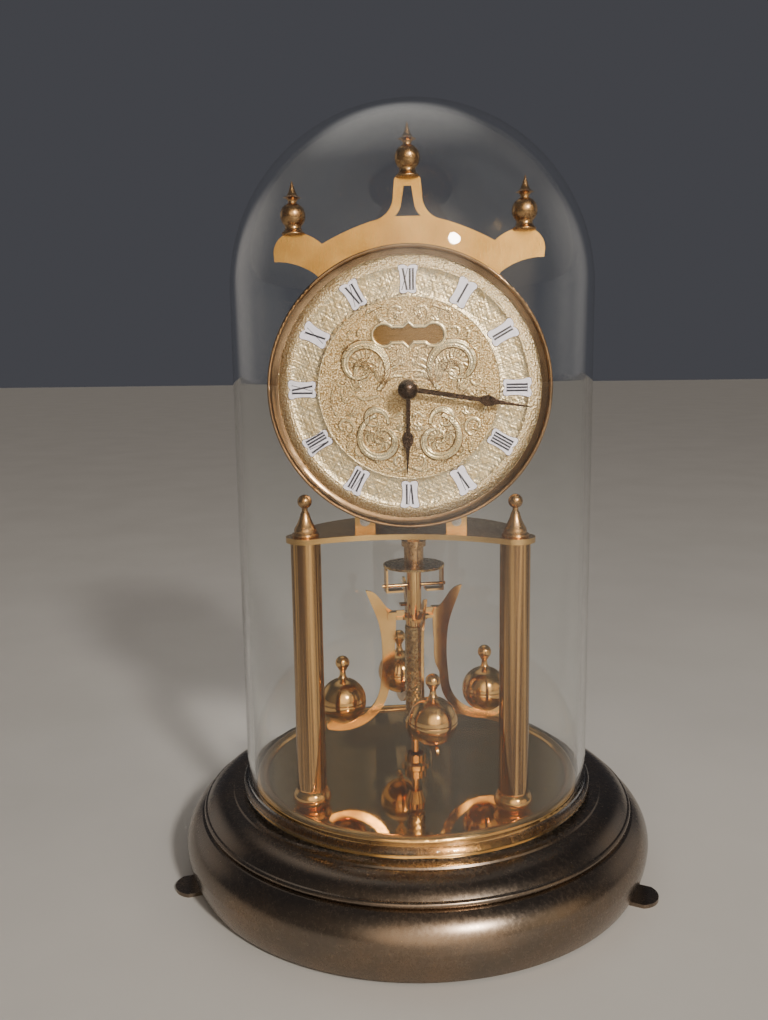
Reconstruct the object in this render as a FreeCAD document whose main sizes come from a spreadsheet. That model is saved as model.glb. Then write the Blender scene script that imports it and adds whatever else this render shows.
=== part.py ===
"""Anniversary clock: a torsion-pendulum clock on a round base, under a glass dome.

Millimetres, +Z up. The origin is on the axis of the base, at the level it stands on, and the
dial faces -Y. The pendulum hangs on that axis; the movement stands in front of it.
"""
import FreeCAD, Part
import math
import os

import Sketcher
from FreeCAD import Placement, Rotation, Vector

doc = FreeCAD.newDocument("AnniversaryClock")
SUBPARTS = []

# ---------------------------------------------------------------- driving dimensions
DIMENSIONS = {
    # base
    "base_radius": 96.0, "base_waist": 13.0, "base_foot_radius": 93.0, "base_lift": 1.5,
    "base_wall": 1.2, "ledge_height": 33.6, "deck_height": 37.0, "plate_radius": 62.3,
    "plate_top": 38.5, "ring_outer": 66.9, "ring_crest": 40.6, "foot_reach": 102.0,
    "foot_width": 14.0, "foot_angle": 22.0,
    # dome
    "dome_radius": 70.3, "dome_wall": 2.6, "dome_top": 304.0, "dome_rim_radius": 72.3,
    # columns and platform
    "column_spread": 38.2, "column_setback": -38.0, "column_radius": 5.5, "column_bore": 4.7,
    "bun_radius": 6.7, "bun_height": 7.2, "rod_radius": 1.5, "rod_hole": 1.56,
    "platform_top": 143.7, "platform_thick": 2.0, "lobe_radius": 7.2,
    # dial
    "dial_height": 197.3, "dial_face": -31.8, "dial_thick": 0.8, "dial_seat": 50.3,
    "dial_opening": 47.7, "can_radius": 51.2, "can_wall": 0.7, "plaque_inner": 33.9,
    "plaque_outer": 44.0,
    # wheel train: teeth and modules
    "great_teeth": 96, "first_leaves": 12, "great_module": 0.4,
    "first_teeth": 80, "second_leaves": 10, "first_module": 0.32,
    "second_teeth": 75, "centre_leaves": 10, "second_module": 0.3,
    "centre_teeth": 96, "escape_leaves": 8, "centre_module": 0.24,
    "escape_teeth": 20, "escape_radius": 8.5,
    "cannon_teeth": 14, "minute_teeth": 42, "cannon_module": 0.3,
    "minute_leaves": 14, "hour_teeth": 56, "hour_module": 0.24,
    # movement plates
    "front_plate_back": -25.5, "back_plate_front": -5.5, "plate_thick": 1.5,
    "plate_half_width": 31.0, "plate_low": -41.0, "plate_high": 44.0,
    # pendulum
    "pendulum_turn": 15.3, "ball_orbit": 30.4, "ball_radius": 9.5, "ball_height": 69.2,
    "arm_thick": 1.0, "arm_inset": 7.8, "arm_sweep": 15.9, "arm_band": 3.7, "arm_sweep_height": 75.9,
    "arm_tip_radius": 20.3, "arm_tip_height": 115.0, "disc_radius": 12.5, "disc_height": 124.0,
}

sheet = doc.addObject("Spreadsheet::Sheet", "Dims")
for row, (alias, number) in enumerate(DIMENSIONS.items(), start=1):
    sheet.set("A%d" % row, alias)
    sheet.set("B%d" % row, str(number))
    sheet.setAlias("B%d" % row, alias)
doc.recompute()


class Size:
    """A length that carries both its value and the sheet expression that gives it."""

    def __init__(self, value, text):
        self.value = float(value)
        self.text = text

    def __add__(self, other):
        other = size(other)
        return Size(self.value + other.value, "(%s + %s)" % (self.text, other.text))

    def __sub__(self, other):
        other = size(other)
        return Size(self.value - other.value, "(%s - %s)" % (self.text, other.text))

    def __mul__(self, factor):
        return Size(self.value * factor, "(%s * %s)" % (self.text, repr(float(factor))))

    def __neg__(self):
        return self * -1

    __radd__ = __add__
    __rmul__ = __mul__


def size(number):
    """A plain number, or a Size as it is."""
    return number if isinstance(number, Size) else Size(number, "(%s)" % repr(float(number)))


class Driving:
    """The sheet's cells as Sizes, by alias."""

    def __getattr__(self, alias):
        return Size(sheet.get(alias), "Dims.%s" % alias)


D = Driving()


# ---------------------------------------------------------------- helpers
def subpart(item, label):
    """Name a finished sub-part; its label is also its file's name."""
    item.Label = label
    SUBPARTS.append(item)
    return item


def place(item, x=0, y=0, z=0):
    """Bind an object's position to the sheet."""
    for axis, where in zip("xyz", (x, y, z)):
        where = size(where)
        setattr(item.Placement.Base, axis, where.value)
        item.setExpression("Placement.Base.%s" % axis, where.text)
    return item


def origin_plane(body, role):
    """One of a body's own origin planes or axes."""
    return next(item for item in body.Origin.OriginFeatures if item.Role == role)


def edge_between(start, end, radius):
    """A line, or an arc of the given radius: positive turns left, negative turns right."""
    if not radius:
        return Part.LineSegment(start, end), False
    chord = end - start
    half = chord.Length / 2
    left = Vector(-chord.y, chord.x, 0).normalize()
    rise = math.sqrt(max(radius * radius - half * half, 0.0))
    centre = (start + end) * 0.5 + left * math.copysign(rise, radius)
    first, last = (start, end) if radius > 0 else (end, start)
    angles = [math.atan2(p.y - centre.y, p.x - centre.x) for p in (first, last)]
    if angles[1] < angles[0]:
        angles[1] += 2 * math.pi
    circle = Part.Circle(centre, Vector(0, 0, 1), abs(radius))
    return Part.ArcOfCircle(circle, angles[0], angles[1]), radius < 0


def draw_outline(sketch, points):
    """Draw a closed outline. A point is (x, y) or (x, y, radius of the arc that reaches it)."""
    corners = [(size(p[0]), size(p[1])) for p in points]
    vectors = [Vector(x.value, y.value, 0) for x, y in corners]
    radii = [p[2] if len(p) > 2 else 0 for p in points]
    ends = []
    for i in range(len(points)):
        nxt = (i + 1) % len(points)
        shape, reversed_arc = edge_between(vectors[i], vectors[nxt], size(radii[nxt]).value)
        geo = sketch.addGeometry(shape, False)
        ends.append((geo, (2, 1) if reversed_arc else (1, 2)))
        if radii[nxt]:
            bind_constraint(sketch, ("Radius", geo), size(radii[nxt]))
    for i, (geo, (start, end)) in enumerate(ends):
        nxt_geo, (nxt_start, _) = ends[(i + 1) % len(ends)]
        sketch.addConstraint(Sketcher.Constraint("Coincident", geo, end, nxt_geo, nxt_start))
        x, y = corners[i]
        bind_constraint(sketch, ("DistanceX", -1, 1, geo, start), x)
        bind_constraint(sketch, ("DistanceY", -1, 1, geo, start), y)


def bind_constraint(sketch, what, length):
    """Add one dimension to a sketch and bind it to the sheet."""
    if what[0] == "Radius" and length.value < 0:
        length = -length
    if what[0] != "Radius" and length.value == 0:
        axis = -2 if what[0] == "DistanceX" else -1
        sketch.addConstraint(Sketcher.Constraint("PointOnObject", what[3], what[4], axis))
        return
    index = sketch.addConstraint(Sketcher.Constraint(*what, length.value))
    sketch.setExpression("Constraints[%d]" % index, length.text)


def sketch_on(body, role, name, points=(), circles=(), offset=0):
    """A sketch on a body's origin plane with one outline and any number of circles (x, y, r)."""
    sketch = body.newObject("Sketcher::SketchObject", name)
    sketch.AttachmentSupport = [(origin_plane(body, role), "")]
    sketch.MapMode = "FlatFace"
    offset = size(offset)
    if offset.value:
        sketch.AttachmentOffset = Placement(Vector(0, 0, offset.value), Rotation())
        sketch.setExpression("AttachmentOffset.Base.z", offset.text)
    if points:
        draw_outline(sketch, points)
    for x, y, radius in circles:
        x, y, radius = size(x), size(y), size(radius)
        geo = sketch.addGeometry(
            Part.Circle(Vector(x.value, y.value, 0), Vector(0, 0, 1), radius.value), False)
        bind_constraint(sketch, ("Radius", geo), radius)
        bind_constraint(sketch, ("DistanceX", -1, 1, geo, 3), x)
        bind_constraint(sketch, ("DistanceY", -1, 1, geo, 3), y)
    return sketch


def new_body(name):
    """An empty body of the document."""
    return doc.addObject("PartDesign::Body", name)


def turned(name, points, role="XZ_Plane", at=(0, 0, 0)):
    """A body turned about the sketch's vertical axis: Z on the XZ plane, Y on the XY plane."""
    body = new_body(name)
    sketch = sketch_on(body, role, name + "_section", points)
    spin = body.newObject("PartDesign::Revolution", name + "_turning")
    spin.Profile = sketch
    spin.ReferenceAxis = (sketch, ["V_Axis"])
    spin.Angle = 360
    sketch.Visibility = False
    return place(body, *at)


def sheet_part(name, points, circles, thickness, role="XZ_Plane", offset=0, at=(0, 0, 0)):
    """A flat piece: an outline with round holes, padded to its thickness."""
    body = new_body(name)
    sketch = sketch_on(body, role, name + "_outline", points, circles, offset)
    pad = body.newObject("PartDesign::Pad", name + "_plate")
    pad.Profile = sketch
    thickness = size(thickness)
    pad.Length = thickness.value
    pad.setExpression("Length", thickness.text)
    return place(body, *at)


def pocket(body, name, role="XZ_Plane", points=(), circles=()):
    """Cut an outline or circles right through a body."""
    sketch = sketch_on(body, role, name + "_outline", points, circles)
    hole = body.newObject("PartDesign::Pocket", name)
    hole.Profile = sketch
    hole.Type = "ThroughAll"
    hole.Midplane = True
    return hole


def rod(name, radius, start, end, x=0, across=0, axis="Z", bore=None):
    """A cylinder along Z or Y between two stations; across is its Y (for Z) or its Z (for Y)."""

    def cylinder(label, r, first, last):
        item = doc.addObject("Part::Cylinder", label)
        for prop, value in (("Radius", size(r)), ("Height", size(last) - size(first))):
            setattr(item, prop, value.value)
            item.setExpression(prop, value.text)
        if axis == "Y":
            item.Placement.Rotation = Rotation(Vector(1, 0, 0), -90)
            return place(item, x, first, across)
        return place(item, x, across, first)

    if bore is None:
        return cylinder(name, radius, start, end)
    outer = cylinder(name + "_bar", radius, start, end)
    inner = cylinder(name + "_bore", bore, size(start) - 1, size(end) + 1)
    return boolean("Part::Cut", name + "_tube", outer, inner)


def box(name, low, high):
    """A block between two corners."""
    item = doc.addObject("Part::Box", name)
    for prop, a, b in zip(("Length", "Width", "Height"), low, high):
        value = size(b) - size(a)
        setattr(item, prop, value.value)
        item.setExpression(prop, value.text)
    return place(item, *low)


def boolean(kind, name, base, tool):
    """One boolean feature: kind is Part::Cut or Part::Fuse."""
    item = doc.addObject(kind, name)
    item.Base = base
    item.Tool = tool
    return item


def cut(name, base, *tools):
    """A piece with other shapes taken away."""
    for i, tool in enumerate(tools):
        base = boolean("Part::Cut", "%s_cut%d" % (name, i), base, tool)
    return base


def fuse(name, *items):
    """Pieces made as one solid."""
    base = items[0]
    for i, item in enumerate(items[1:]):
        base = boolean("Part::Fuse", "%s_join%d" % (name, i), base, item)
    return base


def group(name, items):
    """Several separate solids that share one node."""
    item = doc.addObject("Part::Compound", name)
    item.Links = items
    return item


def shaped(name, shape):
    """A piece whose form is made directly by Part."""
    item = doc.addObject("Part::Feature", name)
    item.Shape = shape
    return item


def face_of(edges):
    """A flat face inside a closed run of edges."""
    return Part.Face(Part.Wire(Part.__sortEdges__(edges)))


def half_height(radius, neck):
    """How far from a ball's centre the ball is as wide as a neck."""
    return math.sqrt(size(radius).value ** 2 - neck ** 2)


def mirrored(points, bridge=0):
    """Complete a half outline by its mirror image in x = 0; bridge is the radius between halves."""
    back = []
    reach = bridge
    for point in reversed(points):
        back.append((-size(point[0]), point[1], reach))
        reach = point[2] if len(point) > 2 else 0
    return list(points) + back


# ---------------------------------------------------------------- base
def make_base():
    """A spun shell with a bulged skirt, a bead and a rounded shoulder below the dome's ledge."""
    skirt_low, skirt_high, shoulder = 29.67, 13.96, 13.0
    wall = D.base_wall
    outer = [
        (D.base_foot_radius, D.base_lift),
        (D.base_radius, D.base_waist, skirt_low),
        (D.base_radius - 6.5, D.base_waist + 11.8, skirt_high),
        (D.base_radius - 8.0, D.base_waist + 12.2),
        (D.base_radius - 8.0, D.base_waist + 14.4, 1.25),
        (D.base_radius - 8.6, D.base_waist + 14.6),
        (D.base_radius - 19.4, D.ledge_height - 0.7, shoulder),
        (D.base_radius - 19.8, D.ledge_height),
        (D.plate_radius, D.ledge_height),
        (D.plate_radius, D.deck_height),
    ]
    inner = [
        (0, D.deck_height),
        (0, D.deck_height - wall),
        (D.plate_radius - wall, D.deck_height - wall),
        (D.plate_radius - wall, D.ledge_height - wall),
        (D.base_radius - 20.6, D.ledge_height - wall),
        (D.base_radius - 19.9, D.ledge_height - 2.0),
        (D.base_radius - 9.7, D.base_waist + 13.4, -(shoulder - 1.2)),
        (D.base_radius - 9.3, D.base_waist + 10.9),
        (D.base_radius - 7.2, D.base_waist + 10.6),
        (D.base_radius - wall, D.base_waist, -(skirt_high - 1.2)),
        (D.base_foot_radius - wall, D.base_lift, -(skirt_low - 1.2)),
    ]
    shell = turned("base_shell", outer + inner)
    pocket(shell, "rod_holes", "XY_Plane",
           circles=[(side * D.column_spread, D.column_setback, D.rod_hole) for side in (-1, 1)])
    subpart(shell, "base_shell")

    feet = []
    angle = sheet.get("foot_angle")
    foot_length, half, back_pull = 14, D.foot_width * 0.5, 7.0
    for i, (bearing_out, pull_in) in enumerate(((180 + angle, 0), (-angle, 0), (90.0, back_pull))):
        tip = D.foot_reach - pull_in - D.foot_width * 0.3
        heel = tip - foot_length
        outline = [(heel, -half), (tip, -half), (tip, half, half + 1.0), (heel, half)]
        foot = sheet_part("foot_%d" % i, outline, (), D.base_lift, role="XY_Plane")
        foot.Placement.Rotation = Rotation(Vector(0, 0, 1), bearing_out)
        feet.append(foot)
    subpart(group("feet", feet), "base_feet")

    mirror = turned("mirror", [(0, D.deck_height), (D.plate_radius, D.deck_height),
                               (D.plate_radius, D.plate_top - 0.3), (D.plate_radius - 0.3, D.plate_top),
                               (0, D.plate_top)])
    pocket(mirror, "mirror_rod_holes", "XY_Plane",
           circles=[(side * D.column_spread, D.column_setback, D.rod_hole) for side in (-1, 1)])
    subpart(mirror, "base_plate")

    crown = 2.3
    ring_inner, crown_foot = D.plate_radius + 0.1, D.ring_crest - crown
    ring = turned("ring", [(ring_inner, D.ledge_height), (D.ring_outer, D.ledge_height),
                           (D.ring_outer, crown_foot), (ring_inner, crown_foot, crown)])
    subpart(ring, "dome_ring")

    flange, cup_outer, cup_inner = 6.0, 4.6, 3.4
    floor, brim = D.plate_top + 1.0, D.plate_top + 5.0
    cup = turned("cup", [(0, D.plate_top), (flange, D.plate_top), (flange, floor),
                         (cup_outer, D.plate_top + 2.0), (cup_outer, brim), (cup_inner, brim),
                         (cup_inner, floor), (0, floor)])
    subpart(cup, "guide_cup")


def make_dome():
    """A cylinder with a half-ball top and a thick rounded rim."""
    inner = D.dome_radius - D.dome_wall
    spring_line = D.dome_top - D.dome_radius
    rim = 2.35
    points = [
        (0, D.dome_top, D.dome_radius),
        (0, D.dome_top - D.dome_wall),
        (inner, spring_line, -inner),
        (inner, D.ledge_height + 2.3),
        (D.dome_rim_radius - 2.3, D.ledge_height, 2.3),
        (D.dome_rim_radius - 0.05, D.ledge_height + 2.4, rim),
        (D.dome_radius + 0.2, D.ledge_height + 4.6, rim),
        (D.dome_radius, D.ledge_height + 5.4),
        (D.dome_radius, spring_line),
    ]
    subpart(turned("dome", points), "glass_dome")


# ---------------------------------------------------------------- columns and platform
def make_columns():
    """Two tubes on bun feet, each held down by a tie rod between its finial and a nut."""
    platform_under = D.platform_top - D.platform_thick
    bun_top = D.plate_top + D.bun_height
    for side, name in ((-1, "column_left"), (1, "column_right")):
        subpart(rod(name, D.column_radius, bun_top, platform_under, x=side * D.column_spread,
                    across=D.column_setback, bore=D.column_bore), name)

    buns, finials, rods, nuts = [], [], [], []
    ball, neck, ball_rise = 2.6, 1.05, 13.0
    nut_height, nut_half = 2.4, 3.4
    under_deck = D.deck_height - D.base_wall
    for i, side in enumerate((-1, 1)):
        at = (side * D.column_spread, D.column_setback, 0)
        buns.append(turned("bun_%d" % i, [
            (D.rod_hole, D.plate_top), (D.bun_radius - 1.2, D.plate_top),
            (D.bun_radius - 1.0, bun_top - 0.6, 4.2), (D.column_radius, bun_top - 0.6),
            (D.column_radius, bun_top), (D.rod_hole, bun_top)], at=at))
        top = D.platform_top
        finials.append(turned("column_finial_%d" % i, [
            (D.rod_hole, top), (4.7, top), (4.7, top + 1.3, 0.9), (4.1, top + 1.5), (4.1, top + 2.3),
            (3.9, top + 3.2), (1.6, top + 8.6, -16.0), (neck, top + 9.6),
            (neck, top + ball_rise - half_height(ball, neck)),
            (0, top + ball_rise + ball, ball), (0, top + 4.0),
            (D.rod_hole, top + 4.0)], at=at))
        rods.append(rod("rod_%d" % i, D.rod_radius, under_deck - nut_height - 0.8, top + 3.6,
                        x=side * D.column_spread, across=D.column_setback))
        nut = doc.addObject("Part::Prism", "nut_%d" % i)
        nut.Polygon = 6
        nut.Circumradius = nut_half
        nut.Height = nut_height
        place(nut, at[0], at[1], under_deck - nut_height)
        hole = rod("nut_hole_%d" % i, D.rod_hole, under_deck - 2 * nut_height, D.deck_height,
                   x=side * D.column_spread, across=D.column_setback)
        nuts.append(cut("nut_%d" % i, nut, hole))
    subpart(group("buns", buns), "column_feet")
    subpart(group("column_finial_pair", finials), "column_finials")
    subpart(group("rods", rods), "tie_rods")
    subpart(group("nuts", nuts), "tie_rod_nuts")


def make_platform():
    """A crescent: a round back round the pendulum's axis and a hollow front between two lobes."""
    spread, setback, lobe = D.column_spread, D.column_setback, D.lobe_radius
    lobe_bend, back_bend, front_bend, pendulum_hole = 8.0, 43.5, 66.0, 6.6
    outline = mirrored([
        (spread - 2.0, setback - lobe + 0.3),
        (spread + lobe, setback, lobe_bend),
        (spread + 5.0, setback + 6.0, lobe_bend),
        (8.0, 8.6, back_bend),
    ], bridge=back_bend)
    outline[0] += (-front_bend,)
    holes = [(side * spread, setback, D.rod_hole) for side in (-1, 1)] + [(0, 0, pendulum_hole)]
    platform = sheet_part("platform", outline, holes, D.platform_thick, role="XY_Plane",
                          offset=D.platform_top - D.platform_thick)
    subpart(platform, "platform")


# ---------------------------------------------------------------- wheel train layout
def polar(centre, radius, degrees):
    """A point of the dial's plane, (x, height above the dial's centre)."""
    angle = math.radians(degrees)
    return (centre[0] + radius * math.cos(angle), centre[1] + radius * math.sin(angle))


def bearing(start, end):
    """The direction from one point to another, in degrees."""
    return math.degrees(math.atan2(end[1] - start[1], end[0] - start[0]))


def meeting_point(a, radius_a, b, radius_b):
    """Where circles about a and b cross, on the left of the way from a to b."""
    gap = math.dist(a, b)
    along = (radius_a ** 2 - radius_b ** 2 + gap ** 2) / (2 * gap)
    aside = math.sqrt(radius_a ** 2 - along ** 2)
    ux, uy = (b[0] - a[0]) / gap, (b[1] - a[1]) / gap
    return (a[0] + ux * along - uy * aside, a[1] + uy * along + ux * aside)


def mesh_distance(wheel, pinion, module):
    """The centre distance of a wheel and a pinion."""
    return (sheet.get(wheel) + sheet.get(pinion)) * sheet.get(module) / 2


CENTRE = (0.0, 0.0)
BARREL = (-9.0, -23.5)
FIRST = polar(BARREL, mesh_distance("great_teeth", "first_leaves", "great_module"), 20.0)
SECOND = meeting_point(CENTRE, mesh_distance("second_teeth", "centre_leaves", "second_module"),
                       FIRST, mesh_distance("first_teeth", "second_leaves", "first_module"))
ESCAPE = (0.0, mesh_distance("centre_teeth", "escape_leaves", "centre_module"))
ANCHOR = (0.0, 24.5)
MINUTE = polar(CENTRE, mesh_distance("minute_teeth", "cannon_teeth", "cannon_module"), -40.0)
CLICK = (-18.5, -16.5)
PILLARS = [(-28.0, 40.0), (28.0, 40.0), (-28.0, -38.0), (28.0, -38.0)]
BLOCKS = [(-17.2, -49.8), (17.2, -49.8)]
DIAL_FEET = [(-26.0, 12.0), (26.0, 12.0), (0.0, -36.0)]

# Stations along Y of what turns between the plates, front face first.
GREAT_WHEEL = (-13.6, -12.4)
CENTRE_WHEEL = (-11.6, -10.8)
FIRST_WHEEL = (-10.2, -9.4)
SECOND_WHEEL = (-8.4, -7.6)
ESCAPE_WHEEL = (-20.4, -19.6)


def ring_face(radius, bore, centre=CENTRE):
    """An annulus in the XZ plane, or a disc where bore is 0."""
    at, normal = Vector(centre[0], 0, centre[1]), Vector(0, 1, 0)
    disc = Part.Face(Part.Wire(Part.Circle(at, normal, radius).toShape()))
    if not bore:
        return disc
    return disc.cut(Part.Face(Part.Wire(Part.Circle(at, normal, bore).toShape())))


def tooth_ring(teeth, module, tooth_at, root_radius=None, tip_radius=None, lean=0.0):
    """The polygon of a toothed edge about the origin, with one tooth centred at tooth_at."""
    pitch_radius = teeth * module / 2
    root_radius = root_radius or pitch_radius - 1.2 * module
    tip_radius = tip_radius or pitch_radius + 0.85 * module
    pitch = 2 * math.pi / teeth
    half_root, half_tip = 0.22 * pitch, 0.075 * pitch
    corners = []
    for tooth in range(teeth):
        middle = math.radians(tooth_at) + tooth * pitch
        for radius, angle in ((root_radius, -half_root), (tip_radius, lean - half_tip),
                              (tip_radius, lean + half_tip), (root_radius, half_root)):
            corners.append(Vector(radius * math.cos(middle + angle), 0,
                                  radius * math.sin(middle + angle)))
    return Part.Face(Part.makePolygon(corners + corners[:1]))


def crossing(rim_radius, hub_radius, spoke_width, spokes, turn=0.0):
    """The windows between a wheel's spokes."""
    windows = []
    for i in range(spokes):
        middle = math.radians(turn) + 2 * math.pi * (i + 0.5) / spokes
        opening = math.pi / spokes
        arcs = []
        for radius in (hub_radius, rim_radius):
            half = opening - math.asin(spoke_width / 2 / radius)
            arcs.append([Vector(radius * math.cos(middle + a), 0, radius * math.sin(middle + a))
                         for a in (-half, 0, half)])
        inner, outer = arcs
        edges = [Part.Arc(*inner).toShape(), Part.makeLine(inner[2], outer[2]),
                 Part.Arc(*outer).toShape(), Part.makeLine(outer[0], inner[0])]
        windows.append(face_of(edges))
    return windows


def wheel(name, face, station, centre, cuts=()):
    """A flat face of the XZ plane, cut out, thickened between two stations and set on its arbor."""
    for tool in cuts:
        face = face.cut(tool)
    solid = face.extrude(Vector(0, station[1] - station[0], 0)).Solids[0]
    item = shaped(name, solid)
    item.Placement = Placement(Vector(centre[0], station[0], centre[1] + sheet.get("dial_height")),
                               Rotation())
    return item


def train_wheel(name, teeth, module, station, centre, tooth_at, bore, spokes=4):
    """A crossed-out brass wheel."""
    count, pitch = int(sheet.get(teeth)), sheet.get(module)
    root = count * pitch / 2 - 1.2 * pitch
    windows = crossing(root - 1.1, bore + 1.5, 1.0, spokes) if spokes else []
    hole = ring_face(bore, 0)
    return wheel(name, tooth_ring(count, pitch, tooth_at), station, centre, windows + [hole])


def arbor(name, centre, pivot_radius, body_radius, leaves=None, module=None, tooth_at=0.0,
          pinion=None, seat=None, ends=(-27.0, -4.0)):
    """A steel arbor with a pinion cut on it: pivots in both plates, a seat for its wheel."""
    front, back = sheet.get("front_plate_back") + 0.4, sheet.get("back_plate_front") - 0.4
    pieces = [(ring_face(pivot_radius, 0), ends), (ring_face(body_radius, 0), (front, back))]
    if seat:
        pieces.append((ring_face(seat[0], 0), seat[1]))
    if leaves:
        pieces.append((tooth_ring(int(sheet.get(leaves)), sheet.get(module), tooth_at), pinion))
    shape = None
    for face, (start, end) in pieces:
        solid = face.extrude(Vector(0, end - start, 0))
        solid.translate(Vector(0, start, 0))
        shape = solid if shape is None else shape.fuse(solid)
    item = shaped(name, shape.removeSplitter())
    item.Placement = Placement(Vector(centre[0], 0, centre[1] + sheet.get("dial_height")), Rotation())
    return item


# ---------------------------------------------------------------- movement
def make_plates():
    """Two brass plates with feet that stand on the platform, held apart by pillars."""
    half, low, high = D.plate_half_width, D.plate_low, D.plate_high
    foot_outer, foot_inner = 21.0, 13.4
    floor = D.platform_top - D.dial_height
    outline = mirrored([
        (foot_inner, floor), (foot_outer, floor), (foot_outer, low), (half, low), (half, high),
    ])
    outline = outline + [(-foot_inner, -46.0), (foot_inner, -46.0)]
    pivots = [(FIRST, 0.55), (SECOND, 0.55), (ESCAPE, 0.45), (ANCHOR, 0.55)]
    front_holes = [(CENTRE, 0.97), (BARREL, 1.55)] + pivots
    back_holes = [(CENTRE, 0.95), (BARREL, 2.05)] + pivots
    fixings = [(point, 1.05) for point in PILLARS + BLOCKS]
    front_face = D.front_plate_back - D.plate_thick
    back_face = D.back_plate_front + D.plate_thick
    motion_post = [rod("motion_post", 0.93, front_face - 3.2, front_face, x=MINUTE[0],
                       across=D.dial_height + MINUTE[1], axis="Y")]
    click_at = dict(x=CLICK[0], across=D.dial_height + CLICK[1], axis="Y")
    click_post = [rod("click_post", 0.78, back_face, back_face + 1.8, **click_at),
                  rod("click_post_head", 1.5, back_face + 1.8, back_face + 2.5, **click_at)]
    for name, station, holes, posts in (("front_plate", D.front_plate_back, front_holes, motion_post),
                                        ("back_plate", back_face, back_holes, click_post)):
        circles = [(x, z, radius) for (x, z), radius in holes + fixings]
        plate = sheet_part(name + "_sheet", outline, circles, D.plate_thick, offset=-station,
                           at=(0, 0, D.dial_height))
        subpart(fuse(name + "_riveted", plate, *posts), name)

    front, back = D.front_plate_back, D.back_plate_front
    pillars = [rod("pillar_%d" % i, 2.5, front, back, x=x, across=D.dial_height + z, axis="Y", bore=0.95)
               for i, (x, z) in enumerate(PILLARS)]
    subpart(group("pillars", pillars), "plate_pillars")

    blocks = []
    for i, (x, z) in enumerate(BLOCKS):
        block = box("block_%d" % i, (x - 3.8, front, D.platform_top), (x + 3.8, back, D.platform_top + 7.4))
        hole = rod("block_hole_%d" % i, 0.95, front - 1, back + 1, x=x, across=D.dial_height + z, axis="Y")
        blocks.append(cut("block_%d" % i, block, hole))
    subpart(group("blocks", blocks), "movement_feet")

    screws = []
    for i, (x, z) in enumerate(PILLARS + BLOCKS):
        height = D.dial_height + z
        for end, face, inward in (("front", front - D.plate_thick, 1), ("back", back + D.plate_thick, -1)):
            name = "screw_%s_%d" % (end, i)
            out, tip = face - inward * 1.0, face + inward * 4.2
            head = rod(name + "_head", 1.9, *sorted((out, face), key=lambda s: s.value), x=x, across=height,
                       axis="Y")
            shank = rod(name + "_shank", 0.92, *sorted((face, tip), key=lambda s: s.value), x=x,
                        across=height, axis="Y")
            slot_ends = sorted((out - inward * 0.1, out + inward * 0.45), key=lambda s: s.value)
            slot = box(name + "_slot", (x - 2.2, slot_ends[0], height - 0.2),
                       (x + 2.2, slot_ends[1], height + 0.2))
            screws.append(cut(name, fuse(name, head, shank), slot))
    subpart(group("screws", screws), "plate_screws")


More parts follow.
